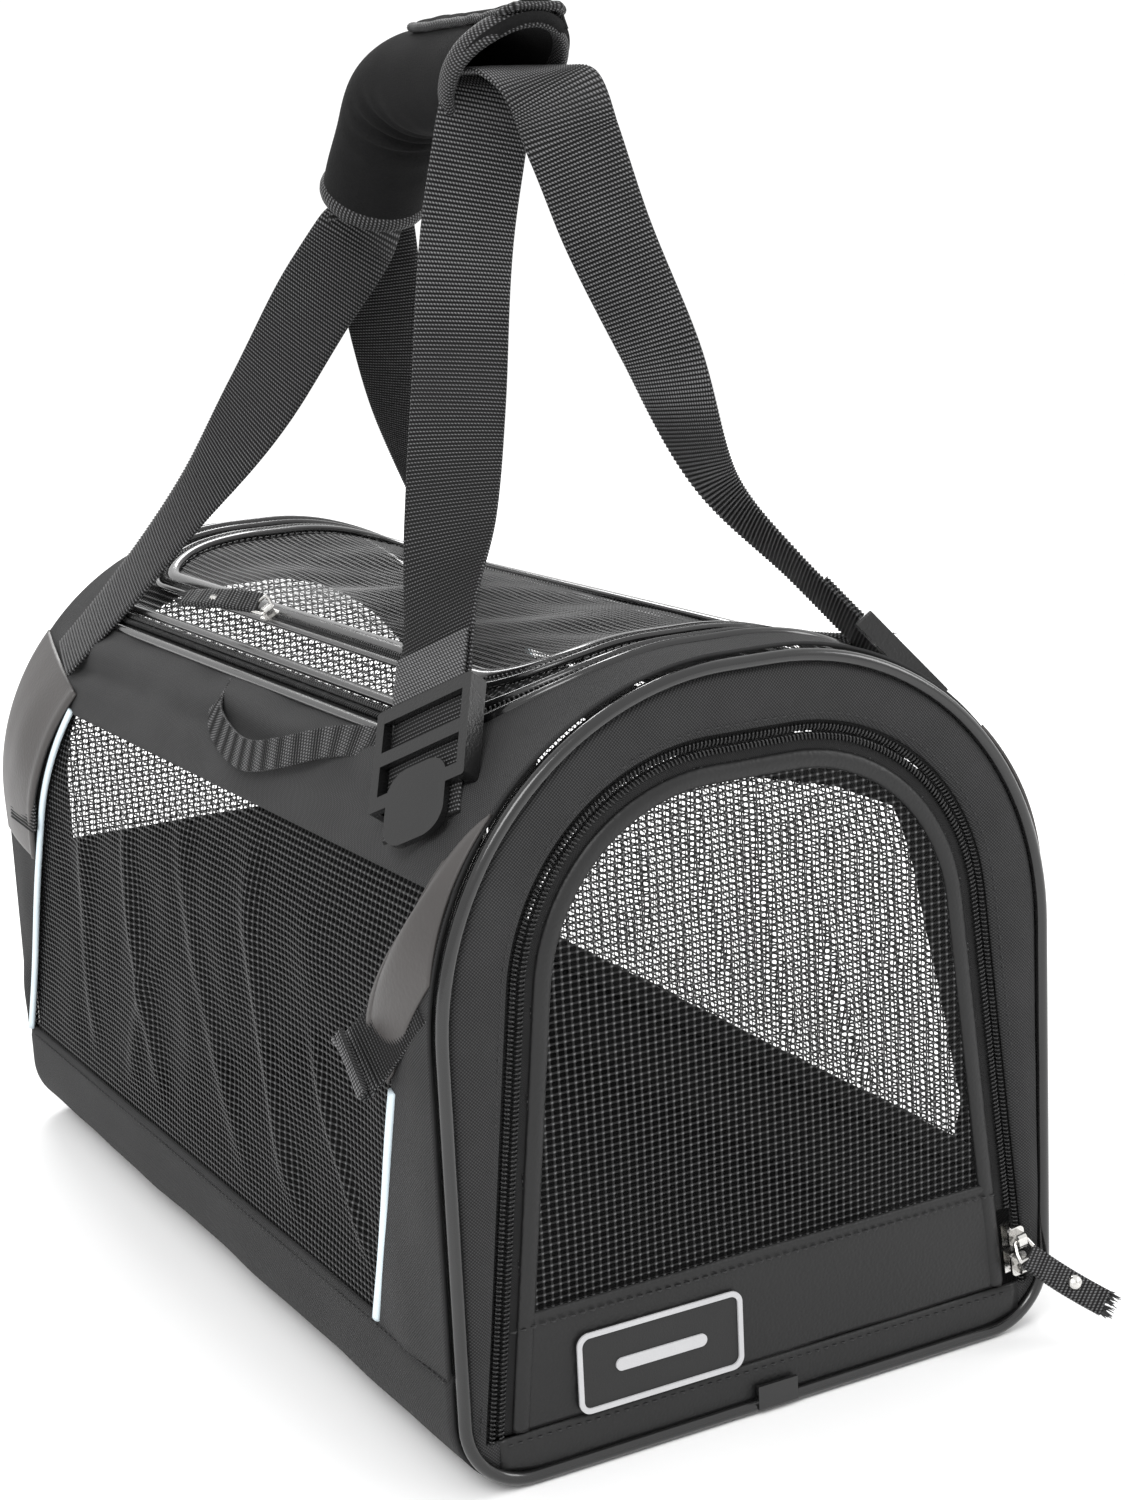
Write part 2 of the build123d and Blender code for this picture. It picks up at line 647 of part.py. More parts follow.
def make_locks():
    """Ladder lock on each front strap, drawn flat and then set on the strap."""
    half_slot = STRAP_W / 2 + LOCK_SIDE
    half_out = half_slot + LOCK_RAIL
    front = STRAP_T / 2 + LOCK_GAP
    depth = front + LOCK_BAR_T
    body = box((-half_out, -half_slot), (-LOCK_L / 2, LOCK_L / 2), (-depth, depth))
    body = body + box((half_slot, half_out), (-LOCK_L / 2, LOCK_L / 2), (-depth, depth))
    for place in (-1, 0, 1):
        y = place * (LOCK_L - LOCK_BAR) / 2
        body = body + box((-half_out, half_out), (y - LOCK_BAR / 2, y + LOCK_BAR / 2), (front, depth))
    bar_y = (-LOCK_BACK_BAR - LOCK_BAR / 2, -LOCK_BACK_BAR + LOCK_BAR / 2)
    body = body + box((-half_out, half_out), bar_y, (-depth, -front))
    tongue = Pos(0, -LOCK_L / 2 - TONGUE_IN) * RectangleRounded(TONGUE_W, TONGUE_L, TONGUE_R)
    body = body + along_z(tongue, front, depth)
    body = fillet(body.edges().filter_by(Axis.Z).group_by(SortBy.LENGTH)[-1], LOCK_EDGE_R)
    across, slope = lock_slope()
    seat = Plane(on_bag(LOCK_MID), x_dir=across, z_dir=across.cross(slope * -1))
    lock = seat.location * body
    save(lock, "ladder_lock_left")
    save(mirrored(lock), "ladder_lock_right")


# ---------------------------------------------------------------- sleeves
def back_sleeve():
    foot = shoulder_z + BACK_SLEEVE_FOOT
    top = shoulder_z + BACK_SLEEVE_TOP
    return [
        (window_back(foot) + CLEAR, foot),
        (shell_y, foot + BACK_SLEEVE_RISE[0]),
        (shell_y, top + BACK_SLEEVE_RISE[1]),
        (window_back(top) + CLEAR, top),
    ]


def at_end(side, points):
    return [(side * (shell_y - inward), shoulder_z + over) for inward, over in points]


def make_sleeves():
    left = (-half_w - 8, -half_w / 2)
    wall = along_y(arch(-TAIL_T) - arch(0), -shell_y, shell_y)
    cover = along_y(arch(-TAIL_T - SLEEVE_T) - arch(0), -shell_y, shell_y)
    for name, sleeve, tail in (
        ("front", at_end(-1, FRONT_SLEEVE), at_end(-1, FRONT_TAIL)),
        ("back", back_sleeve(), at_end(1, BACK_TAIL)),
    ):
        web = wall & side_zone(tail, *left)
        save_group([web, mirrored(web)], f"strap_tails_{name}")
        leather = cover & side_zone(sleeve, *left)
        leather = leather - web
        save(leather, f"strap_sleeve_{name}_left")
        save(mirrored(leather), f"strap_sleeve_{name}_right")


# ---------------------------------------------------------------- sliders
def slider(over, under):
    """Zip slider, its length along Y and Z out of the zip; over and under are the heights it clears.

    With under = 0 it has only its outer plate, for a zip seen from outside alone.
    """
    plate = box((-SLIDER_W / 2, SLIDER_W / 2), (-SLIDER_L / 2, SLIDER_L / 2), (over, over + SLIDER_T))
    plate = fillet(plate.edges().filter_by(Axis.Z), SLIDER_R)
    if under > 0:
        post_z = (-under - WELD, over + WELD)
        plate = plate + box((-POST_W / 2, POST_W / 2), (-POST_L / 2, POST_L / 2), post_z)
        low = (-under - SLIDER_T, -under)
        plate = plate + box((-SLIDER_W / 2, SLIDER_W / 2), (-SLIDER_L / 2, SLIDER_L / 2), low)
    crown = over + SLIDER_T
    bail = box((-BAIL_W / 2, BAIL_W / 2), (-BAIL_L / 2, BAIL_L / 2), (crown - BAIL_SINK, crown + BAIL_H))
    bail = fillet(bail.edges().filter_by(Axis.X).group_by(Axis.Z)[-1], BAIL_R)
    bore = Plane((-BAIL_W, 0, crown + PIN_UP), z_dir=(1, 0, 0)) * Circle(PIN_R + PIN_GAP)
    return plate + (bail - extrude(bore, amount=2 * BAIL_W))


def pull(over, reach):
    """Webbing pull on a metal pin through the slider's bail, leaving along reach."""
    pin_z = over + SLIDER_T + PIN_UP
    reach = Vector(*reach).normalized()
    arm_dir = Vector(0, reach.Y, reach.Z).normalized()
    half = BAIL_W / 2 + PIN_GAP
    pin = Plane((-half - ARM_T, 0, pin_z), z_dir=(1, 0, 0)) * Circle(PIN_R)
    body = extrude(pin, amount=2 * (half + ARM_T))
    for side in (-1, 1):
        start = Vector(side * (half + ARM_T / 2), 0, pin_z)
        seat = Plane(start, x_dir=(1, 0, 0), z_dir=arm_dir)
        body = body + extrude(seat * Rectangle(ARM_T, 2 * PIN_R), amount=ARM_L)
    root = Vector(0, 0, pin_z) + arm_dir * ARM_L
    seat = Plane(root, x_dir=(1, 0, 0), z_dir=arm_dir)
    body = body + extrude(seat * Rectangle(PULL_W, PULL_T), amount=PULL_CLAMP_L)
    across = Vector(1, 0, 0) - reach * reach.X
    web = Plane(root + arm_dir * PULL_LAP, x_dir=across, z_dir=reach)
    body = body + extrude(web * Rectangle(PULL_W, PULL_T), amount=PULL_L)
    rivet_at = root + reach * RIVET_AT
    stud = Plane(rivet_at, x_dir=reach, z_dir=reach.cross(across.normalized()))
    stud = extrude(stud * Circle(RIVET_R), amount=PULL_T / 2 + RIVET_UP, both=True)
    return body + stud


def leg_plane(z):
    """Slider seat on the right leg of the door's zip, at height z."""
    x = door_half - (z - HINGE_Z) * lean_tan
    lean = math.radians(DOOR_LEAN)
    return Plane((x, -seam_y, z), x_dir=(math.cos(lean), 0, math.sin(lean)), z_dir=(0, -1, 0))


def arch_plane(x, y):
    """Slider seat on the arch, its length along Y and its X away from the left side."""
    tilt = math.asin((abs(x) - (half_w - top_r)) / top_r) * math.copysign(1, x)
    across = (math.cos(tilt), 0, -math.sin(tilt))
    return Plane((x, y, arch_height(x)), x_dir=across, z_dir=(math.sin(tilt), 0, math.cos(tilt)))


def make_sliders():
    door_over = COIL_T + SLIDER_GAP
    door_under = TAPE_T + SLIDER_GAP
    metal = slider(door_over, door_under)
    save(leg_plane(SLIDER_LOW_Z).location * metal, "door_slider_lower")
    seat = leg_plane(SLIDER_LOW_Z + SLIDER_L + SLIDER_APART)
    save(seat.location * metal, "door_slider_upper")
    save(seat.location * pull(door_over, DOOR_REACH), "door_pull")

    top_over = RIM_T - FABRIC_T + SLIDER_GAP
    outer_seat = arch_plane(top_half - RIM_W / 2, TOP_SLIDER_Y)
    save(outer_seat.location * slider(top_over, 0), "top_slider")
    save(outer_seat.location * pull(top_over, TOP_REACH), "top_pull")
    flap_seat = arch_plane(-(top_half - RIM_W - GUSSET_W - SLIT_W / 2), FLAP_SLIDER_Y)
    save(flap_seat.location * slider(top_over, 0), "flap_slider")
    save(flap_seat.location * pull(top_over, FLAP_REACH), "flap_pull")


make_shell()
make_ends()
make_door()
make_base()
make_top()
make_grip()
make_straps()
make_locks()
make_sleeves()
make_sliders()
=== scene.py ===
import math
import bpy
import numpy as np
from mathutils import Matrix, Vector


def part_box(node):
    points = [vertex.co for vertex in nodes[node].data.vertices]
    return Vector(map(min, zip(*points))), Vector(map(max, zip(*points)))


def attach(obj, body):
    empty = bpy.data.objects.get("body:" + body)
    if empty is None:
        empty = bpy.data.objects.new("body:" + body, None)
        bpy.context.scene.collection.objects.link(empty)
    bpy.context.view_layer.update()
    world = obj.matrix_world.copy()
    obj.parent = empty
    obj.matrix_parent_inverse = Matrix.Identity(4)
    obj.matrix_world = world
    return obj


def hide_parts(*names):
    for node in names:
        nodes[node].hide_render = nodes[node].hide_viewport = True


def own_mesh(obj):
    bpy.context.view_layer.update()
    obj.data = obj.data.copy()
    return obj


# Looks of the pet carrier bag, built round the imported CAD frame.
# Shapes are worked out in millimetres in the frame's axes and turned into metres by put().

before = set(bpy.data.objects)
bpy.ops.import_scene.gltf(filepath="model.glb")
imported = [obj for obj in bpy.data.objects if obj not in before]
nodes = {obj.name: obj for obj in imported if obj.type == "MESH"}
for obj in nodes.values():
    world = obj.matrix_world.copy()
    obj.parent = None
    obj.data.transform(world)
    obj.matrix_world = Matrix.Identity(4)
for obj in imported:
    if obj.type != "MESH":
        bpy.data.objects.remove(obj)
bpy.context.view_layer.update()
MM = 0.001
SIDES = ((-1, "left"), (1, "right"))
TURN = 2 * math.pi

# The shell, read from the frame
shell_low, shell_high = (np.array(corner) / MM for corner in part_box("front_panel"))
PIPE_R = 2.6
PANEL_INSET = 2 * PIPE_R
HALF_W = shell_high[0] + PANEL_INSET
HEIGHT = shell_high[2] + PANEL_INSET
SEAM_Y = -shell_high[1]
SHELL_Y = SEAM_Y - 1.0
TOP_R = HALF_W - 10.0
BOTTOM_R = 30.0
FLAT = HALF_W - TOP_R
BAND_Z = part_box("base_band_left")[1][2] / MM
SHOULDER_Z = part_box("side_mesh_left")[1][2] / MM
WINDOW_FRONT = (-180.0, -231.0)
WINDOW_BACK = (240.0, 166.0)
HINGE_Z = 20.0
DOOR_HALF = 120.0
DOOR_TOP = 264.0
DOOR_R = 85.0
LEAN = math.radians(6.2)
DOOR_BAND_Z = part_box("door_band")[1][2] / MM
BACK_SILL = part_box("back_mesh")[0][2] / MM
BACK_BORDER = 26.0
TOP_HALF = 95.0
TOP_FRONT = 215.0
TOP_BACK = 228.0
TOP_CORNER_R = 62.0


# ---------------------------------------------------------------- meshes
def put(name, points, faces, material, body="bag", uv=None, slot=None, replaces=()):
    """A mesh piece from points in millimetres, riding on a body."""
    points = np.asarray(points, float).reshape(-1, 3) * MM
    mesh = bpy.data.meshes.new(name)
    mesh.from_pydata(points.tolist(), [], faces)
    if uv is not None:
        layer = mesh.uv_layers.new(name="mm")
        at = np.zeros(len(mesh.loops), np.int32)
        mesh.loops.foreach_get("vertex_index", at)
        layer.data.foreach_set("uv", np.asarray(uv, np.float32).reshape(-1, 2)[at].ravel())
    mesh.materials.append(material)
    mesh.polygons.foreach_set("use_smooth", [True] * len(mesh.polygons))
    mesh.update()
    piece = bpy.data.objects.new(name, mesh)
    bpy.context.scene.collection.objects.link(piece)
    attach(piece, body)
    if replaces:
        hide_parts(*replaces)
    return piece


def grid_faces(rows, cols, wrap_rows=False, wrap_cols=False, start=0, flip=False):
    """Quads of a grid of points; the wraps join its last row or column to the first."""
    i = np.arange(rows if wrap_rows else rows - 1)
    j = np.arange(cols if wrap_cols else cols - 1)
    i, j = np.meshgrid(i, j, indexing="ij")
    k, m = (i + 1) % rows, (j + 1) % cols
    quads = np.stack([i * cols + j, i * cols + m, k * cols + m, k * cols + j], -1) + start
    if flip:
        quads = quads[..., ::-1]
    return quads.reshape(-1, 4).tolist()


def capped_tube(rows, cols):
    """Faces of an open tube of rings of points, with both ends closed."""
    faces = grid_faces(rows, cols, False, True)
    return faces + [list(range(cols))[::-1], list(range((rows - 1) * cols, rows * cols))]


def joined(*parts):
    """Numbers or arrays side by side, as the coordinates of points."""
    return np.stack(np.broadcast_arrays(*parts), -1)


def sheet(name, points, uv, material, thickness, wrap_rows=False, flip=False, **more):
    """Fabric from a grid of points, thickened inwards."""
    rows, cols = points.shape[:2]
    faces = grid_faces(rows, cols, wrap_rows, False, 0, flip)
    piece = put(name, points, faces, material, uv=uv, **more)
    solid = piece.modifiers.new("thickness", "SOLIDIFY")
    solid.thickness = thickness * MM
    solid.offset = -1.0
    return piece


def unit(vectors):
    vectors = np.asarray(vectors, float)
    return vectors / np.maximum(np.linalg.norm(vectors, axis=-1, keepdims=True), 1e-12)


def run_of(points, closed=False):
    """Distance along a line of points."""
    steps = np.linalg.norm(np.diff(points, axis=0), axis=1)
    total = np.concatenate([[0], np.cumsum(steps)])
    if closed:
        return total, total[-1] + np.linalg.norm(points[0] - points[-1])
    return total, total[-1]


def tangents(points, closed=False):
    if closed:
        return unit(np.roll(points, -1, 0) - np.roll(points, 1, 0))
    return unit(np.gradient(points, axis=0))


def swept(centres, ups, section, closed=False):
    """Points and UVs of a closed section, (across, up) pairs, carried along a line."""
    ups = np.asarray(ups, float)
    along = tangents(centres, closed)
    across = unit(np.cross(along, ups))
    ups = np.cross(across, along)
    section = np.asarray(section, float)
    points = centres[:, None] + across[:, None] * section[None, :, :1] + ups[:, None] * section[None, :, 1:]
    run, _ = run_of(centres)
    round_it, _ = run_of(section)
    uv = joined(round_it[None, :], run[:, None])
    return points, uv


def sweep(name, centres, ups, section, material, closed=False, **more):
    points, uv = swept(centres, ups, section, closed)
    rows, cols = points.shape[:2]
    faces = grid_faces(rows, cols, True, True) if closed else capped_tube(rows, cols)
    return put(name, points, faces, material, uv=uv, **more)


def round_section(radius, count=12, high=None):
    turn = np.linspace(0, TURN, count, endpoint=False)
    return np.stack([radius * np.cos(turn), (high or radius) * np.sin(turn)], -1)


def web_section(width, thick, cup=0.0):
    """Flat webbing with soft edges."""
    x = np.array([-0.5, -0.487, -0.4, -0.25, 0, 0.25, 0.4, 0.487, 0.5]) * width
    lift = np.array([0.3, 0.9, 1, 1, 1, 1, 1, 0.9, 0.3]) * thick / 2
    bow = cup * (x * 2 / width) ** 2
    upper = np.stack([x, bow + lift], -1)
    lower = np.stack([x, bow - lift], -1)[::-1]
    return np.concatenate([lower, upper])


def hermite(knots, values, at):
    """A smooth curve through values at the knots."""
    values = np.asarray(values, float)
    slopes = np.gradient(values, knots, axis=0)
    k = np.clip(np.searchsorted(knots, at, side="right") - 1, 0, len(knots) - 2)
    span = (knots[k + 1] - knots[k])[:, None]
    s = (at - knots[k])[:, None] / span
    begin = (2 * s ** 3 - 3 * s ** 2 + 1) * values[k] + (s ** 3 - 2 * s ** 2 + s) * slopes[k] * span
    return begin + (3 * s ** 2 - 2 * s ** 3) * values[k + 1] + (s ** 3 - s ** 2) * slopes[k + 1] * span


def rounded(corners, radii, step=2.0):
    """A closed outline, anticlockwise, with a radius at each corner, as evenly spaced points."""
    corners = np.asarray(corners, float)
    line = []
    for k, corner in enumerate(corners):
        before = unit(corners[k - 1] - corner)
        after = unit(corners[(k + 1) % len(corners)] - corner)
        half = math.acos(np.clip(before @ after, -1, 1)) / 2
        radius = radii[k]
        if radius < 0.1:
            line.append(corner)
            continue
        middle = corner + unit(before + after) * radius / math.sin(half)
        start = corner + before * radius / math.tan(half) - middle
        end = corner + after * radius / math.tan(half) - middle
        a0 = math.atan2(start[1], start[0])
        turn = (math.atan2(end[1], end[0]) - a0) % (TURN)
        for s in np.linspace(0, 1, 40):
            a = a0 + turn * s
            line.append(middle + radius * np.array([math.cos(a), math.sin(a)]))
    return even(np.array(line), step)


def even(line, step, closed=True):
    """A line of points respaced evenly."""
    looped = np.vstack([line, line[:1]]) if closed else line
    run, total = run_of(looped)
    count = max(int(round(total / step)), 2)
    at = np.linspace(0, total, count, endpoint=not closed)
    return np.stack([np.interp(at, run, looped[:, k]) for k in range(line.shape[1])], -1)


def inside(line, x, y):
    """True where a point lies inside a closed outline."""
    x, y = np.asarray(x, float), np.asarray(y, float)
    found = np.zeros(x.shape, bool)
    for a, b in zip(line, np.roll(line, -1, 0)):
        crosses = (a[1] > y) != (b[1] > y)
        with np.errstate(divide="ignore", invalid="ignore"):
            at = a[0] + (y - a[1]) * (b[0] - a[0]) / (b[1] - a[1])
        found ^= crosses & (x < at)
    return found


def polar(line, middle, angles):
    """Points of an outline at angles round a middle."""
    away = line - middle
    turn = np.arctan2(away[:, 1], away[:, 0])
    order = np.argsort(turn)
    reach = np.interp(angles, turn[order], np.linalg.norm(away, axis=1)[order], period=TURN)
    return middle + np.stack([np.cos(angles), np.sin(angles)], -1) * reach[:, None]


RIPPLE_WAVES = 9


def ripple(u, v, size, seed):
    """Soft unevenness from about -1 to 1, the same every run. size is the length of a ripple."""
    pick = np.random.default_rng(seed)
    total = np.zeros(np.broadcast(u, v).shape)
    for _ in range(RIPPLE_WAVES):
        turn, phase = pick.uniform(0, TURN, 2)
        stretch = size * pick.uniform(0.6, 1.8)
        total += np.sin((u * math.cos(turn) + v * math.sin(turn)) * TURN / stretch + phase)
    return total / RIPPLE_WAVES * 1.6


def ease(x, low, high):
    """0 below low, 1 above high, smooth between."""
    s = np.clip((np.asarray(x, float) - low) / (high - low), 0, 1)
    return s * s * (3 - 2 * s)


# ---------------------------------------------------------------- the arch
ARC_END = FLAT + TOP_R * math.pi / 2
WALL_END = ARC_END + HEIGHT - TOP_R - BOTTOM_R
CURL_END = WALL_END + BOTTOM_R * math.pi / 2
ROUND_END = CURL_END + HALF_W - BOTTOM_R


def arch(t, y, lift=0.0):
    """A point on the shell: t is the way round from the crown, to the right, and lift is outwards."""
    t, y, lift = np.broadcast_arrays(np.asarray(t, float), y, lift)
    far = np.abs(t)
    turn = np.clip((far - FLAT) / TOP_R, 0, math.pi / 2)
    low = np.clip((far - WALL_END) / BOTTOM_R, 0, math.pi / 2)
    nx = np.where(far < WALL_END, np.sin(turn), np.cos(low))
    nz = np.where(far < WALL_END, np.cos(turn), -np.sin(low))
    x = np.minimum(far, FLAT) + TOP_R * np.sin(turn)
    z = HEIGHT - TOP_R + TOP_R * np.cos(turn) - np.clip(far - ARC_END, 0, WALL_END - ARC_END)
    x = np.where(far > WALL_END, HALF_W - BOTTOM_R + BOTTOM_R * np.cos(low), x)
    z = np.where(far > WALL_END, BOTTOM_R - BOTTOM_R * np.sin(low), z)
    x = np.where(far > CURL_END, ROUND_END - far, x)
    sign = np.where(t < 0, -1.0, 1.0)
    return np.stack([sign * (x + nx * lift), y, z + nz * lift], -1)


def arch_normal(t):
    return arch(t, 0.0, 1.0) - arch(t, 0.0, 0.0)


def round_at_z(z):
    """Way round from the crown to a height on the shell's side."""
    z = np.asarray(z, float)
    top = FLAT + TOP_R * np.arccos(np.clip((z - HEIGHT + TOP_R) / TOP_R, 0, 1))
    wall = ARC_END + HEIGHT - TOP_R - z
    low = WALL_END + BOTTOM_R * np.arcsin(np.clip((BOTTOM_R - z) / BOTTOM_R, 0, 1))
    return np.where(z > HEIGHT - TOP_R, top, np.where(z > BOTTOM_R, wall, low))


def round_at_x(x):
    x = np.asarray(x, float)
    far = np.abs(x)
    turned = FLAT + TOP_R * np.arcsin(np.clip((far - FLAT) / TOP_R, 0, 1))
    return np.sign(x) * np.where(far > FLAT, turned, far)


def height_at(t):
    return arch(t, 0.0)[..., 2]


def window_edge(ends, z):
    """Y of a side window's edge at a height, from its y at the window's foot and top."""
    return ends[0] + (ends[1] - ends[0]) * (z - BAND_Z) / (SHOULDER_Z - BAND_Z)


def arch_outline(inset, step=2.0):
    half, low, top = HALF_W - inset, inset, HEIGHT - inset
    low_r, top_r = max(BOTTOM_R - inset, 2.0), TOP_R - inset
    corners = [(-half, low), (half, low), (half, top), (-half, top)]
    return rounded(corners, [low_r, low_r, top_r, top_r], step)


def door_outline(inset, foot=HINGE_Z, step=2.0):
    foot_half = DOOR_HALF - inset / math.cos(LEAN) - (foot - HINGE_Z) * math.tan(LEAN)
    top = DOOR_TOP - inset
    top_half = foot_half - (top - foot) * math.tan(LEAN)
    corners = [(-foot_half, foot), (foot_half, foot), (top_half, top), (-top_half, top)]
    return rounded(corners, [0, 0, DOOR_R - inset, DOOR_R - inset], step)


def door_line(inset, foot):
    """The door's zip line as an open line, up the right leg and down the left."""
    loop = door_outline(inset, foot, 1.0)
    low = loop[:, 1] < foot + 0.3
    start = int(np.argmax(loop[:, 0] * low))
    loop = np.roll(loop, -start, 0)
    keep = np.arange(len(loop)) <= int(np.argmin(np.where(loop[:, 1] < foot + 0.3, loop[:, 0], 1e9)))
    return even(loop[keep], 2.0, closed=False)


def top_outline(inset, step=3.0):
    """The top opening seen from above."""
    half, front, back = TOP_HALF - inset, -TOP_FRONT + inset, TOP_BACK - inset
    corners = [(-half, front), (half, front), (half, back), (-half, back)]
    return rounded(corners, [TOP_CORNER_R - inset] * 4, step)


def top_line(inset, lift, step=3.0):
    """The top opening's outline on the shell, with the directions out of it."""
    flat = top_outline(inset, step)
    t = round_at_x(flat[:, 0])
    return arch(t, flat[:, 1], lift), arch_normal(t)


# ---------------------------------------------------------------- materials
def node(tree, kind, inputs=None, **settings):
    made = tree.nodes.new(kind)
    for key, value in settings.items():
        setattr(made, key, value)
    for socket, value in (inputs or {}).items():
        if isinstance(value, bpy.types.NodeSocket):
            tree.links.new(value, made.inputs[socket])
        else:
            made.inputs[socket].default_value = value
    return made


def calc(tree, operation, a, b=0.0):
    return node(tree, "ShaderNodeMath", {0: a, 1: b}, operation=operation).outputs[0]


def times(tree, a, b):
    return calc(tree, "MULTIPLY", a, b)


def plus(tree, a, b):
    return calc(tree, "ADD", a, b)


def place(tree, on_uv):
    """Coordinates in millimetres: the piece's own UVs, or its place in the frame."""
    source = tree.nodes.new("ShaderNodeTexCoord")
    if on_uv:
        return source.outputs["UV"]
    scale = {0: source.outputs["Object"], "Scale": 1 / MM}
    return node(tree, "ShaderNodeVectorMath", scale, operation="SCALE").outputs[0]


def split(tree, vector):
    found = node(tree, "ShaderNodeSeparateXYZ", {0: vector})
    return found.outputs[0], found.outputs[1], found.outputs[2]


def wave(tree, value, pitch):
    """A sine from 0 to 1 with that pitch."""
    turned = calc(tree, "SINE", times(tree, value, TURN / pitch))
    return plus(tree, times(tree, turned, 0.5), 0.5)


def noise(tree, where, size, detail=3.0, roughness=0.55):
    inputs = {"Vector": where, "Scale": 1 / size, "Detail": detail, "Roughness": roughness}
    return node(tree, "ShaderNodeTexNoise", inputs).outputs["Fac"]


def tint(tree, share, low, high):
    """A colour between two greys or colours."""
    ramp = node(tree, "ShaderNodeMix", {"Factor": share}, data_type="RGBA")
    ramp.inputs[6].default_value = (*low, 1)
    ramp.inputs[7].default_value = (*high, 1)
    return ramp.outputs[2]


def ranged(tree, share, low, high):
    inputs = {"Value": share, "To Min": low, "To Max": high}
    return node(tree, "ShaderNodeMapRange", inputs).outputs[0]


def finish(tree, colour, rough, height, depth, **sockets):
    """Joins colour, roughness and a bump of that depth in millimetres to the shader."""
    shader = tree.nodes["Principled BSDF"]
    tree.links.new(colour, shader.inputs["Base Color"])
    tree.links.new(rough, shader.inputs["Roughness"])
    bump = node(tree, "ShaderNodeBump", {"Height": height, "Distance": depth * MM, "Strength": 1.0})
    tree.links.new(bump.outputs[0], shader.inputs["Normal"])
    for socket, value in sockets.items():
        shader.inputs[socket.replace("_", " ")].default_value = value


def start(name):
    material = bpy.data.materials.new(name)
    material.use_nodes = True
    return material, material.node_tree


WEAVE_PITCH = 1.3
WEAVE_DEPTH = 0.3


def weave(name, low, high):
    """Plain-woven nylon, paler on its raised thread crossings as painted highlight and darker between them as
    painted shade.
    """
    material, tree = start(name)
    where = place(tree, True)
    u, v, _ = split(tree, where)
    over = times(tree, calc(tree, "SUBTRACT", wave(tree, u, WEAVE_PITCH), 0.5), 4.0)
    over = times(tree, over, calc(tree, "SUBTRACT", wave(tree, v, WEAVE_PITCH), 0.5))
    thread = plus(tree, times(tree, over, 0.5), 0.5)
    worn = noise(tree, where, 26.0, 4.0)
    fuzz = noise(tree, where, 1.6, 2.0)
    # Painted highlight on the raised thread crossings, painted shade between them; the broad noise adds
    # uneven tone.
    painted_crossing_highlight = calc(tree, "POWER", thread, 2.0)
    share = plus(tree, times(tree, painted_crossing_highlight, 0.75), times(tree, worn, 0.35))
    height = plus(tree, thread, times(tree, fuzz, 0.5))
    finish(tree, tint(tree, share, low, high), ranged(tree, worn, 0.7, 0.92), height, WEAVE_DEPTH,
           Sheen_Weight=0.04, Sheen_Roughness=0.4, Specular_IOR_Level=0.22)
    return material


def webbing(name, low, high, pitch=1.75, depth=0.32):
    """Ribbed webbing: ribs across its length, each a row of small stitches, paler on the rib crests as
    painted highlight and darker in the troughs as painted shade.
    """
    material, tree = start(name)
    where = place(tree, True)
    u, v, _ = split(tree, where)
    rib = wave(tree, v, pitch)
    dots = wave(tree, plus(tree, u, times(tree, v, 0.55)), 1.3)
    height = plus(tree, calc(tree, "POWER", rib, 0.7), times(tree, dots, 0.35))
    worn = noise(tree, where, 18.0, 4.0)
    # Painted highlight on the rib crests and stitch dots, painted shade in the troughs; the noise adds uneven
    # tone.
    painted_rib_highlight = times(tree, calc(tree, "POWER", rib, 1.6), calc(tree, "POWER", dots, 0.8))
    share = times(tree, painted_rib_highlight, ranged(tree, worn, 0.7, 1.3))
    finish(tree, tint(tree, share, low, high), ranged(tree, worn, 0.52, 0.72), height, depth,
           Sheen_Weight=0.02, Sheen_Roughness=0.35, Specular_IOR_Level=0.22)
    return material


def grained(name, low, high, grain=1.3, depth=0.1, rough=0.42, on_uv=False, coat=0.0, spread=40.0, shine=0.4):
    """Leatherette, rubber or moulded plastic, with a fine grain and uneven gloss."""
    material, tree = start(name)
    where = place(tree, on_uv)
    cells = node(tree, "ShaderNodeTexVoronoi", {"Vector": where, "Scale": 1 / grain}, feature="SMOOTH_F1")
    broad = noise(tree, where, spread, 5.0)
    fine = noise(tree, where, grain * 1.4, 3.0)
    height = plus(tree, cells.outputs["Distance"], times(tree, fine, 0.5))
    finish(tree, tint(tree, broad, low, high), ranged(tree, broad, rough - 0.12, rough + 0.12), height, depth,
           Coat_Weight=coat, Coat_Roughness=0.12, Specular_IOR_Level=shine)
    return material


def herringbone(name, low, high):
    """Woven zip tape, paler on its raised threads as painted highlight and darker between them as painted
    shade.
    """
    material, tree = start(name)
    where = place(tree, True)
    u, v, _ = split(tree, where)
    zig = calc(tree, "PINGPONG", u, 1.5)
    thread = wave(tree, plus(tree, v, zig), 0.9)
    worn = noise(tree, where, 12.0)
    # The colour follows the threads' relief: painted highlight on the raised threads, painted shade between
    # them, with uneven tone from the noise.
    finish(tree, tint(tree, times(tree, thread, worn), low, high), ranged(tree, worn, 0.6, 0.85),
           thread, 0.15, Specular_IOR_Level=0.3)
    return material


def velvet(name, low, high):
    """Soft brushed fabric of the grip and mat."""
    material, tree = start(name)
    where = place(tree, False)
    fuzz = noise(tree, where, 0.9, 4.0, 0.7)
    patch = noise(tree, where, 9.0, 4.0)
    share = plus(tree, times(tree, fuzz, 0.7), times(tree, patch, 0.4))
    finish(tree, tint(tree, share, low, high), ranged(tree, patch, 0.85, 1.0), fuzz, 0.5,
           Sheen_Weight=0.02, Sheen_Roughness=0.5, Specular_IOR_Level=0.05)
    return material


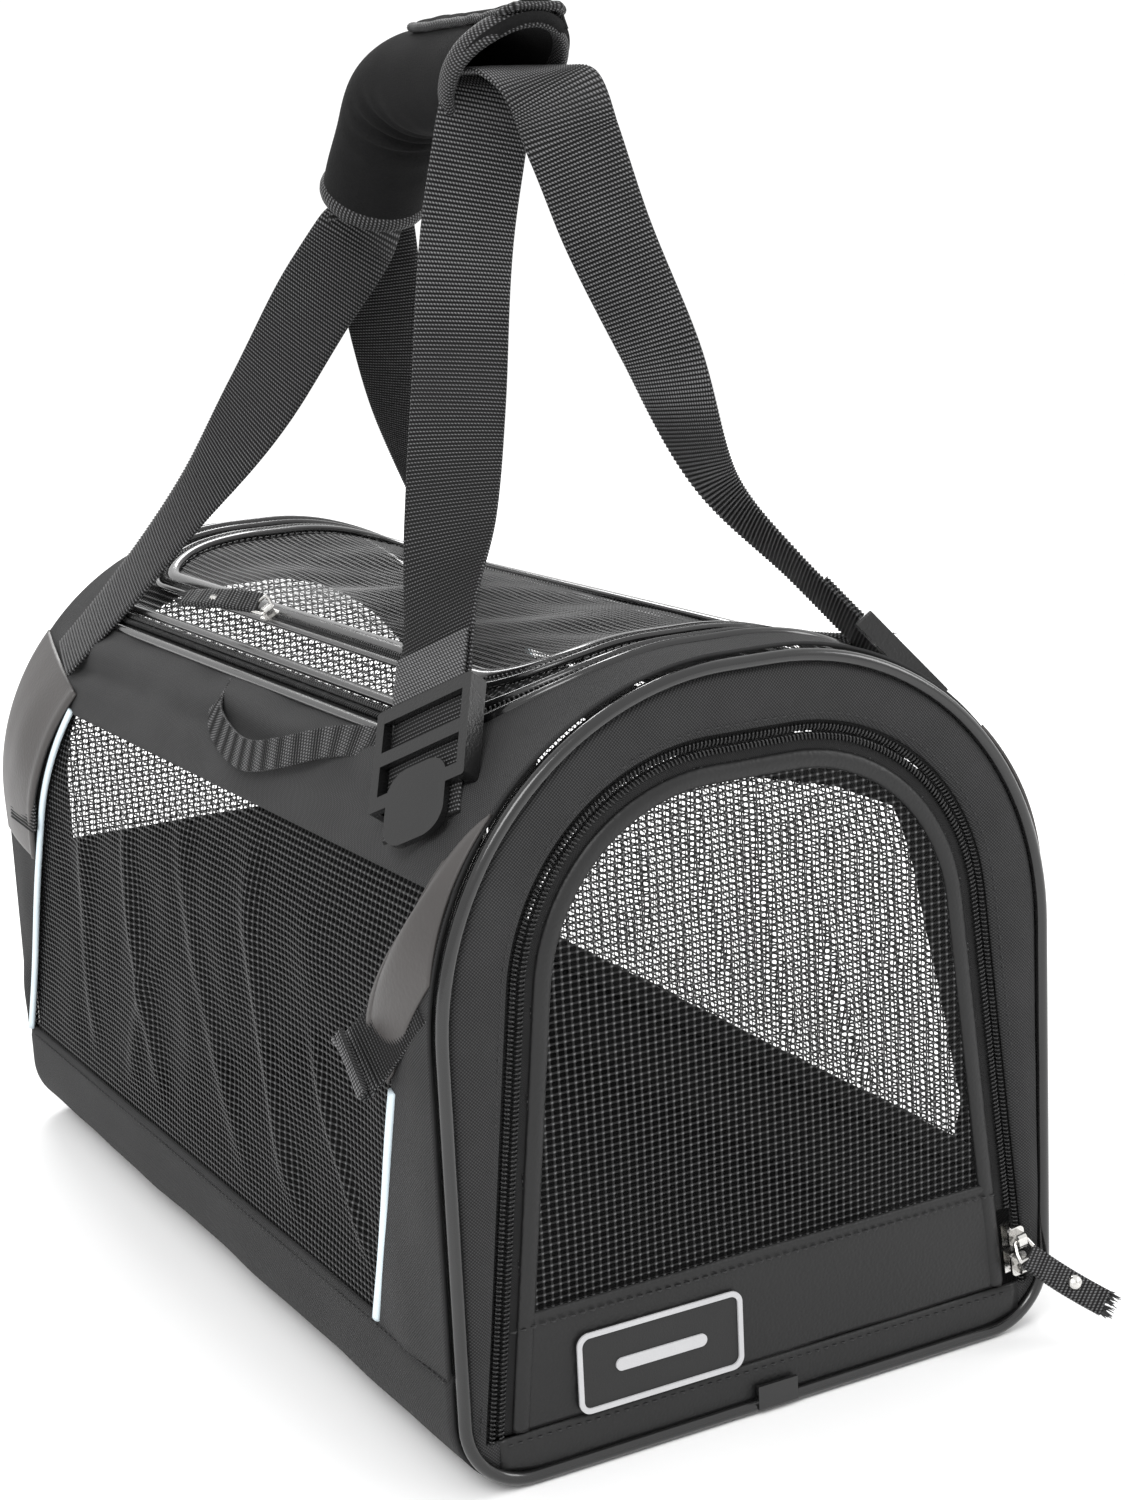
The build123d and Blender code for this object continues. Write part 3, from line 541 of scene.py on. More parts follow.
def netting(name, low, high):
    """Coated net: its UVs count cells, so that the knots are paler than the threads, a painted highlight."""
    material, tree = start(name)
    where = place(tree, True)
    u, v, _ = split(tree, where)
    crossing = [wave(tree, plus(tree, way, 0.25), 1.0) for way in (u, v)]
    # The knot mask is both the bump and a painted highlight that makes the knots pale.
    knot = times(tree, *crossing)
    knot = calc(tree, "POWER", knot, 5.0)
    patch = noise(tree, where, 14.0)
    share = times(tree, knot, ranged(tree, patch, 0.6, 1.2))
    finish(tree, tint(tree, share, low, high), ranged(tree, patch, 0.38, 0.6), knot, 0.1,
           Specular_IOR_Level=0.25)
    return material


def metal(name):
    material, tree = start(name)
    where = place(tree, False)
    marks = noise(tree, where, 1.1, 5.0)
    finish(tree, tint(tree, marks, (0.50, 0.49, 0.47), (0.82, 0.81, 0.79)), ranged(tree, marks, 0.12, 0.34),
           marks, 0.04, Metallic=1.0)
    return material


def grey(value):
    return (value, value, value * 1.02)


def make_materials():
    return {
        # The upper greys of the two weaves show on the raised thread crossings only: painted highlight.
        "fabric": weave("shell_weave", grey(0.003), grey(0.060)),
        "base": weave("base_weave", grey(0.003), grey(0.048)),
        # The upper greys of the webbings show on the rib crests: painted highlight.
        "web": webbing("strap_webbing", grey(0.002), grey(0.21)),
        "tie": webbing("narrow_webbing", grey(0.003), grey(0.17), pitch=1.6, depth=0.3),
        "leather": grained("leatherette", grey(0.005), grey(0.012), on_uv=True, rough=0.46, shine=0.38,
                           depth=0.16),
        "sleeve": grained("sleeve_leatherette", (0.034, 0.031, 0.030), (0.062, 0.057, 0.055), on_uv=True,
                          rough=0.46, shine=0.5),
        "vinyl": grained("piping_vinyl", grey(0.005), grey(0.010), grain=2.2, depth=0.03, rough=0.22,
                         coat=0.5, spread=16.0),
        # The tape's upper grey is a painted highlight on its raised threads.
        "tape": herringbone("zip_tape", grey(0.004), grey(0.035)),
        "coil": grained("zip_coil", grey(0.006), grey(0.018), grain=0.5, depth=0.03, rough=0.26, spread=8.0),
        # The net's upper grey is a painted highlight on the knots.
        "net": netting("net_threads", grey(0.004), grey(0.16)),
        "metal": metal("slider_metal"),
        "wire": metal("spring_wire"),
        "reflective": grained("reflective_trim", (0.60, 0.71, 0.78), (0.76, 0.86, 0.90), grain=0.9,
                              depth=0.05, rough=0.42, spread=20.0),
        "rubber": grained("badge_rubber", grey(0.008), grey(0.015), grain=0.7, depth=0.05),
        "relief": grained("badge_grey", grey(0.42), grey(0.56), grain=0.7, depth=0.05, rough=0.5),
        "lock": grained("lock_plastic", grey(0.005), grey(0.010), grain=0.8, depth=0.06, rough=0.26),
        "velvet": velvet("grip_velvet", grey(0.003), grey(0.018)),
        "fleece": velvet("mat_fleece", grey(0.002), grey(0.010)),
        "board": grained("stiffener_board", grey(0.006), grey(0.012), grain=1.8, rough=0.7),
        # The thread's upper grey is a painted highlight on its rib crests.
        "thread": webbing("sewing_thread", grey(0.02), grey(0.09), pitch=0.5, depth=0.05),
    }


look = make_materials()


# ---------------------------------------------------------------- net
CELL_U = 3.4
CELL_V = 2.7
THREAD = 0.82
KNOT_CUT = 0.4
KNOT_LIFT = 0.42
THREAD_LIFT = 0.2


def net(name, surface, u_span, v_span, keep, body, replaces):
    """Net with a real hole in each cell. surface(u, v, lift) places it; keep(u, v) picks its cells."""
    nu = int(round((u_span[1] - u_span[0]) / CELL_U))
    nv = int(round((v_span[1] - v_span[0]) / CELL_V))
    i, j = np.meshgrid(np.arange(nu), np.arange(nv), indexing="ij")
    i, j = i.ravel(), j.ravel()
    wanted = keep(u_span[0] + (i + 0.5) * CELL_U, v_span[0] + (j + 0.5) * CELL_V)
    i, j = i[wanted], j[wanted]
    a, b = (CELL_U - THREAD) / 2, (CELL_V - THREAD) / 2
    c = KNOT_CUT
    hole = [(c - a, -b), (a - c, -b), (a, c - b), (a, b - c)]
    hole += [(-x, -y) for x, y in hole]
    rows = nv + 1
    knots = (nu + 1) * rows
    flat_edges = nu * rows * 2
    upright_edges = (nu + 1) * nv * 2
    k, m = np.meshgrid(np.arange(nu + 1), np.arange(nv + 1), indexing="ij")
    knot_at = np.stack([k, m], -1).reshape(-1, 2) * (CELL_U, CELL_V)
    k, m, e = np.meshgrid(np.arange(nu), np.arange(nv + 1), [c - a, a - c], indexing="ij")
    flat_at = np.stack([(k + 0.5) * CELL_U + e, m * CELL_V], -1).reshape(-1, 2)
    k, m, e = np.meshgrid(np.arange(nu + 1), np.arange(nv), [c - b, b - c], indexing="ij")
    upright_at = np.stack([k * CELL_U, (m + 0.5) * CELL_V + e], -1).reshape(-1, 2)
    middle = np.stack([(i + 0.5) * CELL_U, (j + 0.5) * CELL_V], -1)
    hole_at = (middle[:, None] + np.array(hole)[None]).reshape(-1, 2)
    at = np.concatenate([knot_at, flat_at, upright_at, hole_at])
    lift = np.concatenate([np.full(knots, KNOT_LIFT), np.full(flat_edges + upright_edges, THREAD_LIFT),
                           np.zeros(len(hole_at))])

    def knot(p, q):
        return p * rows + q

    def flat(p, q, end):
        return knots + (p * rows + q) * 2 + end

    def upright(p, q, end):
        return knots + flat_edges + (p * nv + q) * 2 + end

    h = knots + flat_edges + upright_edges + np.arange(len(i)) * 8
    quads = np.concatenate([
        np.stack([flat(i, j, 0), flat(i, j, 1), h + 1, h], -1),
        np.stack([upright(i + 1, j, 0), upright(i + 1, j, 1), h + 3, h + 2], -1),
        np.stack([flat(i, j + 1, 1), flat(i, j + 1, 0), h + 5, h + 4], -1),
        np.stack([upright(i, j, 1), upright(i, j, 0), h + 7, h + 6], -1),
    ])
    fives = np.concatenate([
        np.stack([flat(i, j, 1), knot(i + 1, j), upright(i + 1, j, 0), h + 2, h + 1], -1),
        np.stack([upright(i + 1, j, 1), knot(i + 1, j + 1), flat(i, j + 1, 1), h + 4, h + 3], -1),
        np.stack([flat(i, j + 1, 0), knot(i, j + 1), upright(i, j, 1), h + 6, h + 5], -1),
        np.stack([upright(i, j, 0), knot(i, j), flat(i, j, 0), h, h + 7], -1),
    ])
    used = np.unique(np.concatenate([quads.ravel(), fives.ravel()]))
    where = np.full(len(at), -1)
    where[used] = np.arange(len(used))
    faces = where[quads].tolist() + where[fives].tolist()
    at, lift = at[used], lift[used]
    points = surface(u_span[0] + at[:, 0], v_span[0] + at[:, 1], lift)
    uv = at / (CELL_U, CELL_V)
    return put(name, points, faces, look["net"], body=body, uv=uv, slot="net", replaces=replaces)


def side_folds(side, y, t):
    """Soft wrinkles of a side window, in millimetres outwards."""
    z = height_at(t)
    folds = np.zeros(np.broadcast(y, t).shape)
    creases = [  # upper end and lower end as (y, z), width, height
        ((-70, 215), (-96, 60), 9, 3.2),
        ((10, 222), (-40, 64), 10, 2.6),
        ((70, 222), (60, 70), 8, 3.0),
        ((120, 205), (150, 60), 8, 2.4),
        ((-130, 150), (-175, 60), 7, 2.8),
        ((40, 140), (100, 55), 9, 2.0),
    ]
    for (y0, z0), (y1, z1), width, high in creases:
        share = np.clip((z0 - z) / (z0 - z1), -0.2, 1.2)
        centre = y0 + (y1 - y0) * share + (6 * np.sin(share * 4.0))
        fade = ease(share, -0.15, 0.3) * (1 - ease(share, 0.8, 1.15))
        if side > 0:
            centre = centre * 0.8 + 14
        folds = folds + high * fade * np.exp(-((y - centre) / width) ** 2)
    edge = ease(y - window_edge(WINDOW_FRONT, z), 2, 30)
    edge = edge * (1 - ease(y - window_edge(WINDOW_BACK, z), -30, -2))
    edge = edge * ease(z, BAND_Z + 2, BAND_Z + 26) * (1 - ease(z, SHOULDER_Z - 24, SHOULDER_Z - 2))
    return edge * (folds - 1.2 + 1.1 * ripple(y, t, 46, 5 + side))


def make_side_nets():
    t_low, t_high = float(round_at_z(SHOULDER_Z)) - 4, float(round_at_z(BAND_Z)) + 4

    def keep(y, t):
        z = height_at(t)
        front, back = window_edge(WINDOW_FRONT, z), window_edge(WINDOW_BACK, z)
        return (y > front - 3) & (y < np.minimum(back, SHELL_Y - 1) + 3) & (np.abs(y) < SHELL_Y - 1)

    for side, word in SIDES:
        def surface(y, t, lift, side=side):
            return arch(side * t, y, lift - 1.2 + side_folds(side, y, t))

        net(f"window_net_{word}", surface, (-SHELL_Y + 1, SHELL_Y - 1), (t_low, t_high), keep, "bag",
            [f"side_mesh_{word}"])


make_side_nets()


# ---------------------------------------------------------------- shell fabric
FABRIC = 1.5


def corner_sheet(name, side, front, back, lift, replaces):
    """Fabric beside a side window, between two edges given for each height."""
    t = np.linspace(float(round_at_z(SHOULDER_Z + 2)), float(round_at_z(BAND_Z - 1)), 40)[:, None]
    z = height_at(t)
    share = np.linspace(0, 1, 30)[None, :]
    y = front(z) + (back(z) - front(z)) * share
    points = arch(side * t, y, lift(y, t, share))
    uv = joined(y, t)
    sheet(name, points, uv, look["fabric"], FABRIC, flip=side < 0, slot="shell_fabric", replaces=replaces)


def make_corners():
    for side, word in SIDES:
        def lift(y, t, share):
            middle = np.sin(share * math.pi)
            return middle * (1.3 + 1.2 * ripple(y, t, 60, 21 + side)) + 0.15

        corner_sheet(f"corner_front_{word}", side, lambda z: -SHELL_Y + 0 * z,
                     lambda z: window_edge(WINDOW_FRONT, z), lift, [f"corner_panel_front_{word}"])
        corner_sheet(f"corner_back_{word}", side,
                     lambda z: np.minimum(window_edge(WINDOW_BACK, z), SHELL_Y - 1),
                     lambda z: SHELL_Y + 0 * z, lift, [f"corner_panel_back_{word}"])


def make_base():
    low = float(round_at_z(BAND_Z))
    t = np.concatenate([np.linspace(low, CURL_END, 26), np.linspace(CURL_END, ROUND_END, 10)[1:]])
    t = np.concatenate([t, -t[:-1][::-1]])[:, None]
    y = np.linspace(-SHELL_Y, SHELL_Y, 90)[None, :]
    off = 1 - ease(np.abs(t), WALL_END + 6, CURL_END - 6)
    edge = ease(np.abs(t), low, low + 5)
    lift = off * (0.9 * edge + 0.9 * ripple(y, t, 90, 31) * edge + 0.2)
    points = arch(t, y, lift)
    mid = len(t) // 2
    points[mid, :, 0] = 0.0
    uv = joined(y, t)
    sheet("base_shell", points, uv, look["base"], FABRIC, flip=True, slot="shell_fabric",
          replaces=["base_panel", "base_band_left", "base_band_right"])


def shoulder_lift(t, y):
    """Rolls of the fabric below the outer zip."""
    far = np.abs(t)
    sway = 3.0 * ripple(y, 0 * y, 150, 41)
    roll = 3.0 * np.exp(-((far - 117 - sway) / 6.5) ** 2) - 1.2 * np.exp(-((far - 127 - sway) / 5) ** 2)
    second = 1.6 * np.exp(-((far - 136 + 0.6 * sway) / 5.0) ** 2)
    ends = ease(np.abs(y), SHELL_Y - 4, SHELL_Y - 34)
    rolls = (roll + second) * (0.7 + 0.4 * ripple(y, far, 110, 43)) * ease(far, 98, 110)
    return ends * (rolls + 0.8 * ripple(y, t, 55, 44)) * (1 - ease(far, 144, 149)) + 0.2


def make_upper():
    edge = float(round_at_z(SHOULDER_Z)) + 1.5
    middle = np.array([0.0, (TOP_BACK - TOP_FRONT) / 2])
    outer = rounded([(-edge, -SHELL_Y), (edge, -SHELL_Y), (edge, SHELL_Y), (-edge, SHELL_Y)], [0] * 4, 1.0)
    inner = top_outline(0, 1.0)
    inner = np.stack([round_at_x(inner[:, 0]), inner[:, 1]], -1)
    corner = [math.atan2(s * SHELL_Y - middle[1], c * edge) for s in (-1, 1) for c in (-1, 1)]
    angles = np.sort(np.concatenate([np.linspace(-math.pi, math.pi, 640, endpoint=False), corner]))
    a, b = polar(inner, middle, angles), polar(outer, middle, angles)
    share = np.linspace(0, 1, 26)[:, None, None]
    flat = a[None] * (1 - share) + b[None] * share
    t, y = flat[..., 0], flat[..., 1]
    rim = ease(share[..., 0], 0, 0.06)
    points = arch(t, y, shoulder_lift(t, y) * rim + 0.2)
    points = np.transpose(points, (1, 0, 2))
    uv = np.transpose(np.stack([y, t], -1), (1, 0, 2))
    sheet("upper_shell", points, uv, look["fabric"], FABRIC, wrap_rows=True, flip=True, slot="shell_fabric",
          replaces=["shoulder_band_left", "shoulder_band_right", "top_bridge_front", "top_bridge_back"])


make_corners()
make_base()
make_upper()


# ---------------------------------------------------------------- end panels
def end_ring(name, inner, facing, replaces, middle):
    """Padded fabric between an inner outline and the piping, facing -1 to the front or 1 to the back."""
    middle = np.array(middle)
    angles = np.linspace(-math.pi, math.pi, 720, endpoint=False)
    feet = inner[inner[:, 1] < inner[:, 1].min() + 0.6]
    for corner in (feet[np.argmin(feet[:, 0])], feet[np.argmax(feet[:, 0])]):
        angles = np.append(angles, math.atan2(corner[1] - middle[1], corner[0] - middle[0]))
    angles = np.sort(angles)
    a = polar(inner, middle, angles)
    b = polar(arch_outline(PANEL_INSET - 0.8, 1.0), middle, angles)
    share = np.concatenate([[0, 0.004, 0.015, 0.04], np.linspace(0.08, 0.92, 13), [0.96, 0.985, 1]])
    flat = a[:, None] * (1 - share[None, :, None]) + b[:, None] * share[None, :, None]
    x, z = flat[..., 0], flat[..., 1]
    y = facing * (SEAM_Y + panel_lift(x, z, share[None, :]))
    points = np.stack([x, np.broadcast_to(y, x.shape), z], -1)
    uv = np.stack([x, z], -1)
    sheet(name, points, uv, look["fabric"], 1.2, wrap_rows=True, flip=facing > 0, slot="shell_fabric",
          replaces=replaces)


def panel_lift(x, z, share):
    """A padded panel: folded edge at the zip, crown, and pulled down into the piping seam."""
    edge = np.minimum(1, np.sqrt(np.clip(share / 0.06, 0, 1)) * 0.55 + 0.45)
    crown = 1.9 + 2.6 * np.sin(np.clip(share, 0, 1) * math.pi) ** 0.7
    fall = 1 - ease(share, 0.86, 1.0) * 0.55
    low = ease(z, 12, 60) * 0.7 + 0.3
    puckers = 0.5 * ripple(x, z, 34, 51) * np.sin(share * math.pi)
    return edge * fall * (1.2 + (crown - 1.2) * low) + puckers * low


def make_end_panels():
    end_ring("front_frame", door_outline(-4.2, HINGE_Z, 1.0), -1, ["front_panel"], (0.0, 130.0))
    window = back_window(0.0)
    end_ring("back_frame", window, 1, ["back_panel"], (0.0, 190.0))
    keep = back_window(-3.0)

    def surface(x, z, lift):
        slack = 1.6 * ripple(x, z, 60, 61)
        return np.stack([x, SEAM_Y + 1.0 + lift + slack, z], -1)

    net("back_net", surface, (-HALF_W, HALF_W), (BACK_SILL - 5, HEIGHT), lambda x, z: inside(keep, x, z),
        "bag", ["back_mesh"])
    sill = np.array([[-window[:, 0].max(), BACK_SILL], [window[:, 0].max(), BACK_SILL]])
    sill_seam(even(sill, 3.0, closed=False))


def back_window(inset):
    """Outline of the back window: the arch above a straight sill."""
    whole = arch_outline(PANEL_INSET + BACK_BORDER + inset, 1.0)
    z = np.maximum(whole[:, 1], BACK_SILL + inset)
    cut = np.stack([whole[:, 0], z], -1)
    keep = whole[:, 1] >= BACK_SILL + inset - 1.0
    half = np.abs(cut[keep][:, 0]).max()
    floor = even(np.array([[-half, BACK_SILL + inset], [half, BACK_SILL + inset]]), 1.0, closed=False)
    top = cut[keep]
    order = np.argsort((np.arctan2(top[:, 1] - BACK_SILL - 30, top[:, 0]) + math.pi / 2) % (TURN))
    return np.concatenate([floor[1:-1], top[order]])


def sill_seam(line):
    """Rolled seam along the foot of the back window."""
    centres = np.stack([line[:, 0], np.full(len(line), SEAM_Y + 4.6), line[:, 1]], -1)
    ups = np.tile((0.0, 1.0, 0.0), (len(line), 1))
    sweep("back_sill_seam", centres, ups, round_section(2.2, 12, 1.0), look["fabric"], slot="shell_fabric")


make_end_panels()


# ---------------------------------------------------------------- zips
COIL_HALF_H = 0.95


def coil(name, centres, ups, body, half_w=1.25, pitch=1.7, wire=0.42, closed=False, turn_way=1):
    """One half of a nylon coil zip: a wire wound along the line."""
    along = tangents(centres, closed)
    across = unit(np.cross(along, ups))
    up = np.cross(across, along)
    run, total = run_of(centres, closed)
    if closed:
        run = np.append(run, total)
        centres, across, up = (np.vstack([a, a[:1]]) for a in (centres, across, up))
    turns = int(total / pitch)
    steps = turns * 8
    at = np.linspace(0, total, steps, endpoint=not closed)

    def pick(values):
        return np.stack([np.interp(at, run, values[:, k]) for k in range(3)], -1)

    c, a, u = pick(centres), unit(pick(across)), unit(pick(up))
    turn = np.arange(steps) * TURN / 8 * turn_way
    path = c + a * (half_w * np.cos(turn))[:, None] + u * (COIL_HALF_H * np.sin(turn))[:, None]
    out = unit(a * np.cos(turn)[:, None] + u * np.sin(turn)[:, None])
    sweep(name, path, out, round_section(wire, 5), look["coil"], closed=closed, body=body, slot="zip")


def strip_section(low, high, thick):
    """A flat tape from low to high across, with its underside at 0."""
    x = np.linspace(low, high, 6)
    upper = np.stack([x[::-1], np.full(6, thick)], -1)
    lower = np.stack([x, np.zeros(6)], -1)
    return np.concatenate([lower, upper])


def front_line(inset, foot, lift):
    flat = door_line(inset, foot)
    centres = np.stack([flat[:, 0], np.full(len(flat), -SEAM_Y - lift), flat[:, 1]], -1)
    return centres, np.tile((0.0, -1.0, 0.0), (len(flat), 1))


PARK_Z = 52.0  # the door side of the zip starts above the parked sliders


def make_door_zip():
    centres, ups = front_line(0.0, HINGE_Z - 5, -0.7)
    sweep("door_tape_frame", centres, ups, strip_section(0.5, 5.2, 0.6), look["tape"], slot="zip",
          replaces=["door_zip_frame_side"])
    centres, ups = front_line(-1.75, HINGE_Z - 4, 1.1)
    coil("door_coil_frame", centres, ups, "bag")
    centres, ups = front_line(0.0, HINGE_Z + 1, -0.7)
    keep = (centres[:, 0] < 0) | (centres[:, 2] > PARK_Z)
    sweep("door_tape_door", centres[keep], ups[keep], strip_section(-9.0, -0.5, 0.6), look["tape"],
          body="door", slot="zip", replaces=["door_zip_door_side"])
    centres, ups = front_line(1.75, HINGE_Z + 1, 1.1)
    keep = (centres[:, 0] < 0) | (centres[:, 2] > PARK_Z)
    coil("door_coil_door", centres[keep], ups[keep], "door", turn_way=-1)
    centres, ups = front_line(10.5, HINGE_Z + 1, 0.5)
    sweep("door_binding_roll", centres, ups, round_section(3.6, 16, 1.9), look["leather"], body="door",
          slot="leatherette", replaces=["door_binding"])


def rim(name, inset, lift, section, material, body="bag", slot="zip", replaces=()):
    """A closed strip or piping round the top opening."""
    centres, ups = top_line(inset, lift)
    sweep(name, centres, ups, section, look[material], closed=True, body=body, slot=slot, replaces=replaces)


def make_top_zips():
    rim("top_piping_outer", -0.5, 1.5, round_section(2.3, 12), "vinyl", slot="piping_vinyl")
    rim("top_tape", 0.0, -0.9, strip_section(-8.6, -0.5, 0.8), "tape",
        replaces=["top_zip_outer_tape", "top_zip_inner_tape"])
    for inset, way, word in ((3.3, 1, "a"), (5.9, -1, "b")):
        centres, ups = top_line(inset, 0.9, 2.0)
        coil(f"top_coil_{word}", centres, ups, "bag", pitch=2.0, closed=True, turn_way=way, wire=0.5)
    rim("top_piping_inner", 9.2, 0.9, round_section(2.0, 12), "vinyl", slot="piping_vinyl")
    rim("gusset_piping", 23.6, 0.7, round_section(1.5, 10), "vinyl", slot="piping_vinyl")
    for inset, way, body in ((25.2, 1, "bag"), (27.4, -1, "top_flap")):
        centres, ups = top_line(inset, 0.6, 2.0)
        coil(f"flap_coil_{body}", centres, ups, body, pitch=2.0, closed=True, turn_way=way, half_w=0.95)
    rim("flap_binding", 31.0, 0.0, round_section(3.4, 14, 2.0), "vinyl", body="top_flap", slot="piping_vinyl",
        replaces=["top_flap_border"])


def make_top_nets():
    outer, inner = top_outline(8.0, 2.0), top_outline(25.0, 2.0)
    across = float(round_at_x(TOP_HALF)) + 1

    def ring(t, y):
        x = arch(t, y)[..., 0]
        return inside(outer, x, y) & ~inside(inner, x, y)

    def gusset(t, y, lift):
        x = arch(t, y)[..., 0]
        share = np.clip((TOP_HALF - 9 - np.abs(x)) / 15, 0, 1)
        return arch(t, y, lift - 0.8 - 2.2 * np.sin(math.pi * share) * ease(TOP_HALF - 9 - np.abs(x), 0, 2))

    net("gusset_net", gusset, (-across, across), (-TOP_FRONT, TOP_BACK), ring, "bag", ["top_gusset"])
    edge = top_outline(29.5, 2.0)
    half = TOP_HALF - 29.5

    def flap(t, y, lift):
        x = arch(t, y)[..., 0]
        long_way = np.clip((y - (TOP_BACK - TOP_FRONT) / 2) / ((TOP_BACK + TOP_FRONT) / 2 - 29.5), -1, 1)
        bowl = np.clip(1 - (x / half) ** 2, 0, 1) * np.clip(1 - long_way ** 4, 0, 1)
        return arch(t, y, lift - 0.9 - 9.0 * bowl * (1 + 0.25 * ripple(t, y, 70, 71)))

    net("flap_net", flap, (-across, across), (-TOP_FRONT, TOP_BACK),
        lambda t, y: inside(edge, arch(t, y)[..., 0], y), "top_flap", ["top_flap_mesh"])


make_door_zip()
make_top_zips()
make_top_nets()


# ---------------------------------------------------------------- door
def make_door():
    edge = door_outline(8.0, HINGE_Z + 1, 1.5)

    def surface(x, z, lift):
        sag = 2.0 * np.sin(math.pi * np.clip((z - DOOR_BAND_Z) / (DOOR_TOP - DOOR_BAND_Z), 0, 1))
        slack = ease(z, DOOR_BAND_Z, DOOR_BAND_Z + 25) * 0.8 * ripple(x, z, 80, 81)
        return np.stack([x, -SEAM_Y + 0.4 - lift - (slack + sag * 0.3), z], -1)

    net("door_net", surface, (-DOOR_HALF, DOOR_HALF), (DOOR_BAND_Z - 6, DOOR_TOP),
        lambda x, z: inside(edge, x, z), "door", ["door_mesh"])
    z = np.linspace(HINGE_Z + 0.6, DOOR_BAND_Z, 26)[:, None]
    share = np.linspace(-1, 1, 60)[None, :]
    half = DOOR_HALF - 8.5 / math.cos(LEAN) - (z - HINGE_Z) * math.tan(LEAN)
    x = half * share
    up = (z - HINGE_Z) / (DOOR_BAND_Z - HINGE_Z)
    roll = 0.8 * np.exp(-((up - 0.97) / 0.03) ** 2)
    pillow = 0.9 * np.sin(math.pi * np.clip(up, 0, 1)) ** 0.6 * (1 - share ** 6)
    y = -SEAM_Y - 1.3 - roll - pillow - 0.35 * ripple(x, z, 46, 91) * (1 - share ** 4)
    points = joined(x, y, z)
    uv = joined(x, z)
    sheet("door_leather_band", points, uv, look["leather"], 1.4, body="door", slot="leatherette",
          replaces=["door_band"])


def make_foot_strip():
    """Leatherette between the door's hinge line and the piping."""
    z = np.linspace(PANEL_INSET - 0.5, HINGE_Z + 0.2, 10)[:, None]
    share = np.linspace(-1, 1, 60)[None, :]
    x = (DOOR_HALF - 1.0) * share
    drop = ease(np.abs(x), 100, 125) * 4 * (1 - (z - PANEL_INSET) / (HINGE_Z - PANEL_INSET))
    y = -SEAM_Y - 1.9 - 0.9 * np.sin(math.pi * np.clip((z - 5) / 15, 0, 1))
    points = joined(x, y, z + np.clip(drop, 0, 4))
    uv = joined(x, z)
    sheet("foot_strip", points, uv, look["leather"], 1.2, slot="leatherette")


make_door()
make_foot_strip()


# ---------------------------------------------------------------- straps
STRAP_W = 38.0
STRAP_T = 1.8
GRIP_BACK = (52.0, 460.0)
GRIP_BEND = (12.0, 508.0)
GRIP_MOUTH_Y = -62.0
GRIP_FRONT_Y = -108.0
MOUTH_Z = GRIP_BEND[1]
LOCK_MID = np.array((-104.5, -189.0, 267.5))
LOCK_ACROSS = unit((0.43, -0.80, 0.41))
LOCK_DOWN = np.array((-0.42, -0.58, -0.70))
LOCK_DOWN = unit(LOCK_DOWN - LOCK_ACROSS * (LOCK_DOWN @ LOCK_ACROSS))
LOCK_OUT = np.cross(LOCK_DOWN, LOCK_ACROSS)

# Stations of the straps from the grip down: (centre, direction across the webbing)
FRONT_LEFT = [
    ((0, GRIP_MOUTH_Y - 0.6, MOUTH_Z - 1.5), (1, 0, 0)),
    ((-3, GRIP_MOUTH_Y - 7, MOUTH_Z - 6), (1, -0.15, 0)),
    ((-8, GRIP_MOUTH_Y - 9, MOUTH_Z - 24), (0.95, -0.3, 0)),
    ((-16, -72, 452), (0.90, -0.43, 0)),
    ((-38, -97, 382), (0.88, -0.48, 0)),
    ((-60, -128, 340), (0.75, -0.62, 0.20)),
]
FRONT_RIGHT = [
    ((0, GRIP_MOUTH_Y - 0.6, MOUTH_Z + 1.5), (1, 0, 0)),
    ((2, -90, MOUTH_Z + 0.5), (1, -0.1, 0)),
    ((6, -107, MOUTH_Z - 8), (0.9, -0.4, 0.1)),
    ((10, -114, 480), (0.7, -0.6, 0.3)),
    ((18, -122, 446), (0.55, -0.75, 0.36)),
    ((36, -128, 400), (0.40, -0.90, 0.30)),
    ((60, -131, 342), (-0.1, -1.0, 0.25)),
]
BACK_LEFT = [
    ((0, 51.2, 458.6), (1, 0, 0)),
    ((-0.5, 56.0, 452.8), (1, 0, 0)),
    ((-7, 62, 441), (0.88, -0.28, -0.38)),
    ((-18, 79, 418), (0.69, -0.44, -0.58)),
    ((-36, 114, 371), (0.45, -0.75, -0.50)),
    ((-58, 147, 327), (0.10, -1.0, -0.25)),
    ((-90, 176, 279), (0, -1, -0.1)),
    ((-117, 192, 247), (0, -1, 0)),
]
BACK_RIGHT = [
    ((0, 53.6, 460.4), (1, 0, 0)),
    ((0.5, 58.4, 454.6), (1, 0, 0)),
    ((7, 69, 446), (0.97, -0.2, 0)),
    ((16, 84, 422), (0.85, -0.45, 0.1)),
    ((33, 108, 380), (0.6, -0.75, 0.2)),
    ((58, 142, 330), (0.2, -1.0, 0.1)),
    ((90, 174, 281), (0, -1, 0)),
    ((117, 192, 247), (0, -1, 0)),
]


def lock_point(side, down, lift=0.0):
    """A point on a ladder lock, from its middle down the strap and out from it."""
    point = LOCK_MID + LOCK_DOWN * down + LOCK_OUT * lift
    return (point[0] * -side, point[1], point[2])


def lock_across(side):
    return (LOCK_ACROSS[0] * -side, LOCK_ACROSS[1], LOCK_ACROSS[2])


def front_route(route, side):
    """Adds the straight stretch through the ladder lock."""
    return route + [(lock_point(side, down), lock_across(side)) for down in (-58, -30, 0, 34)]


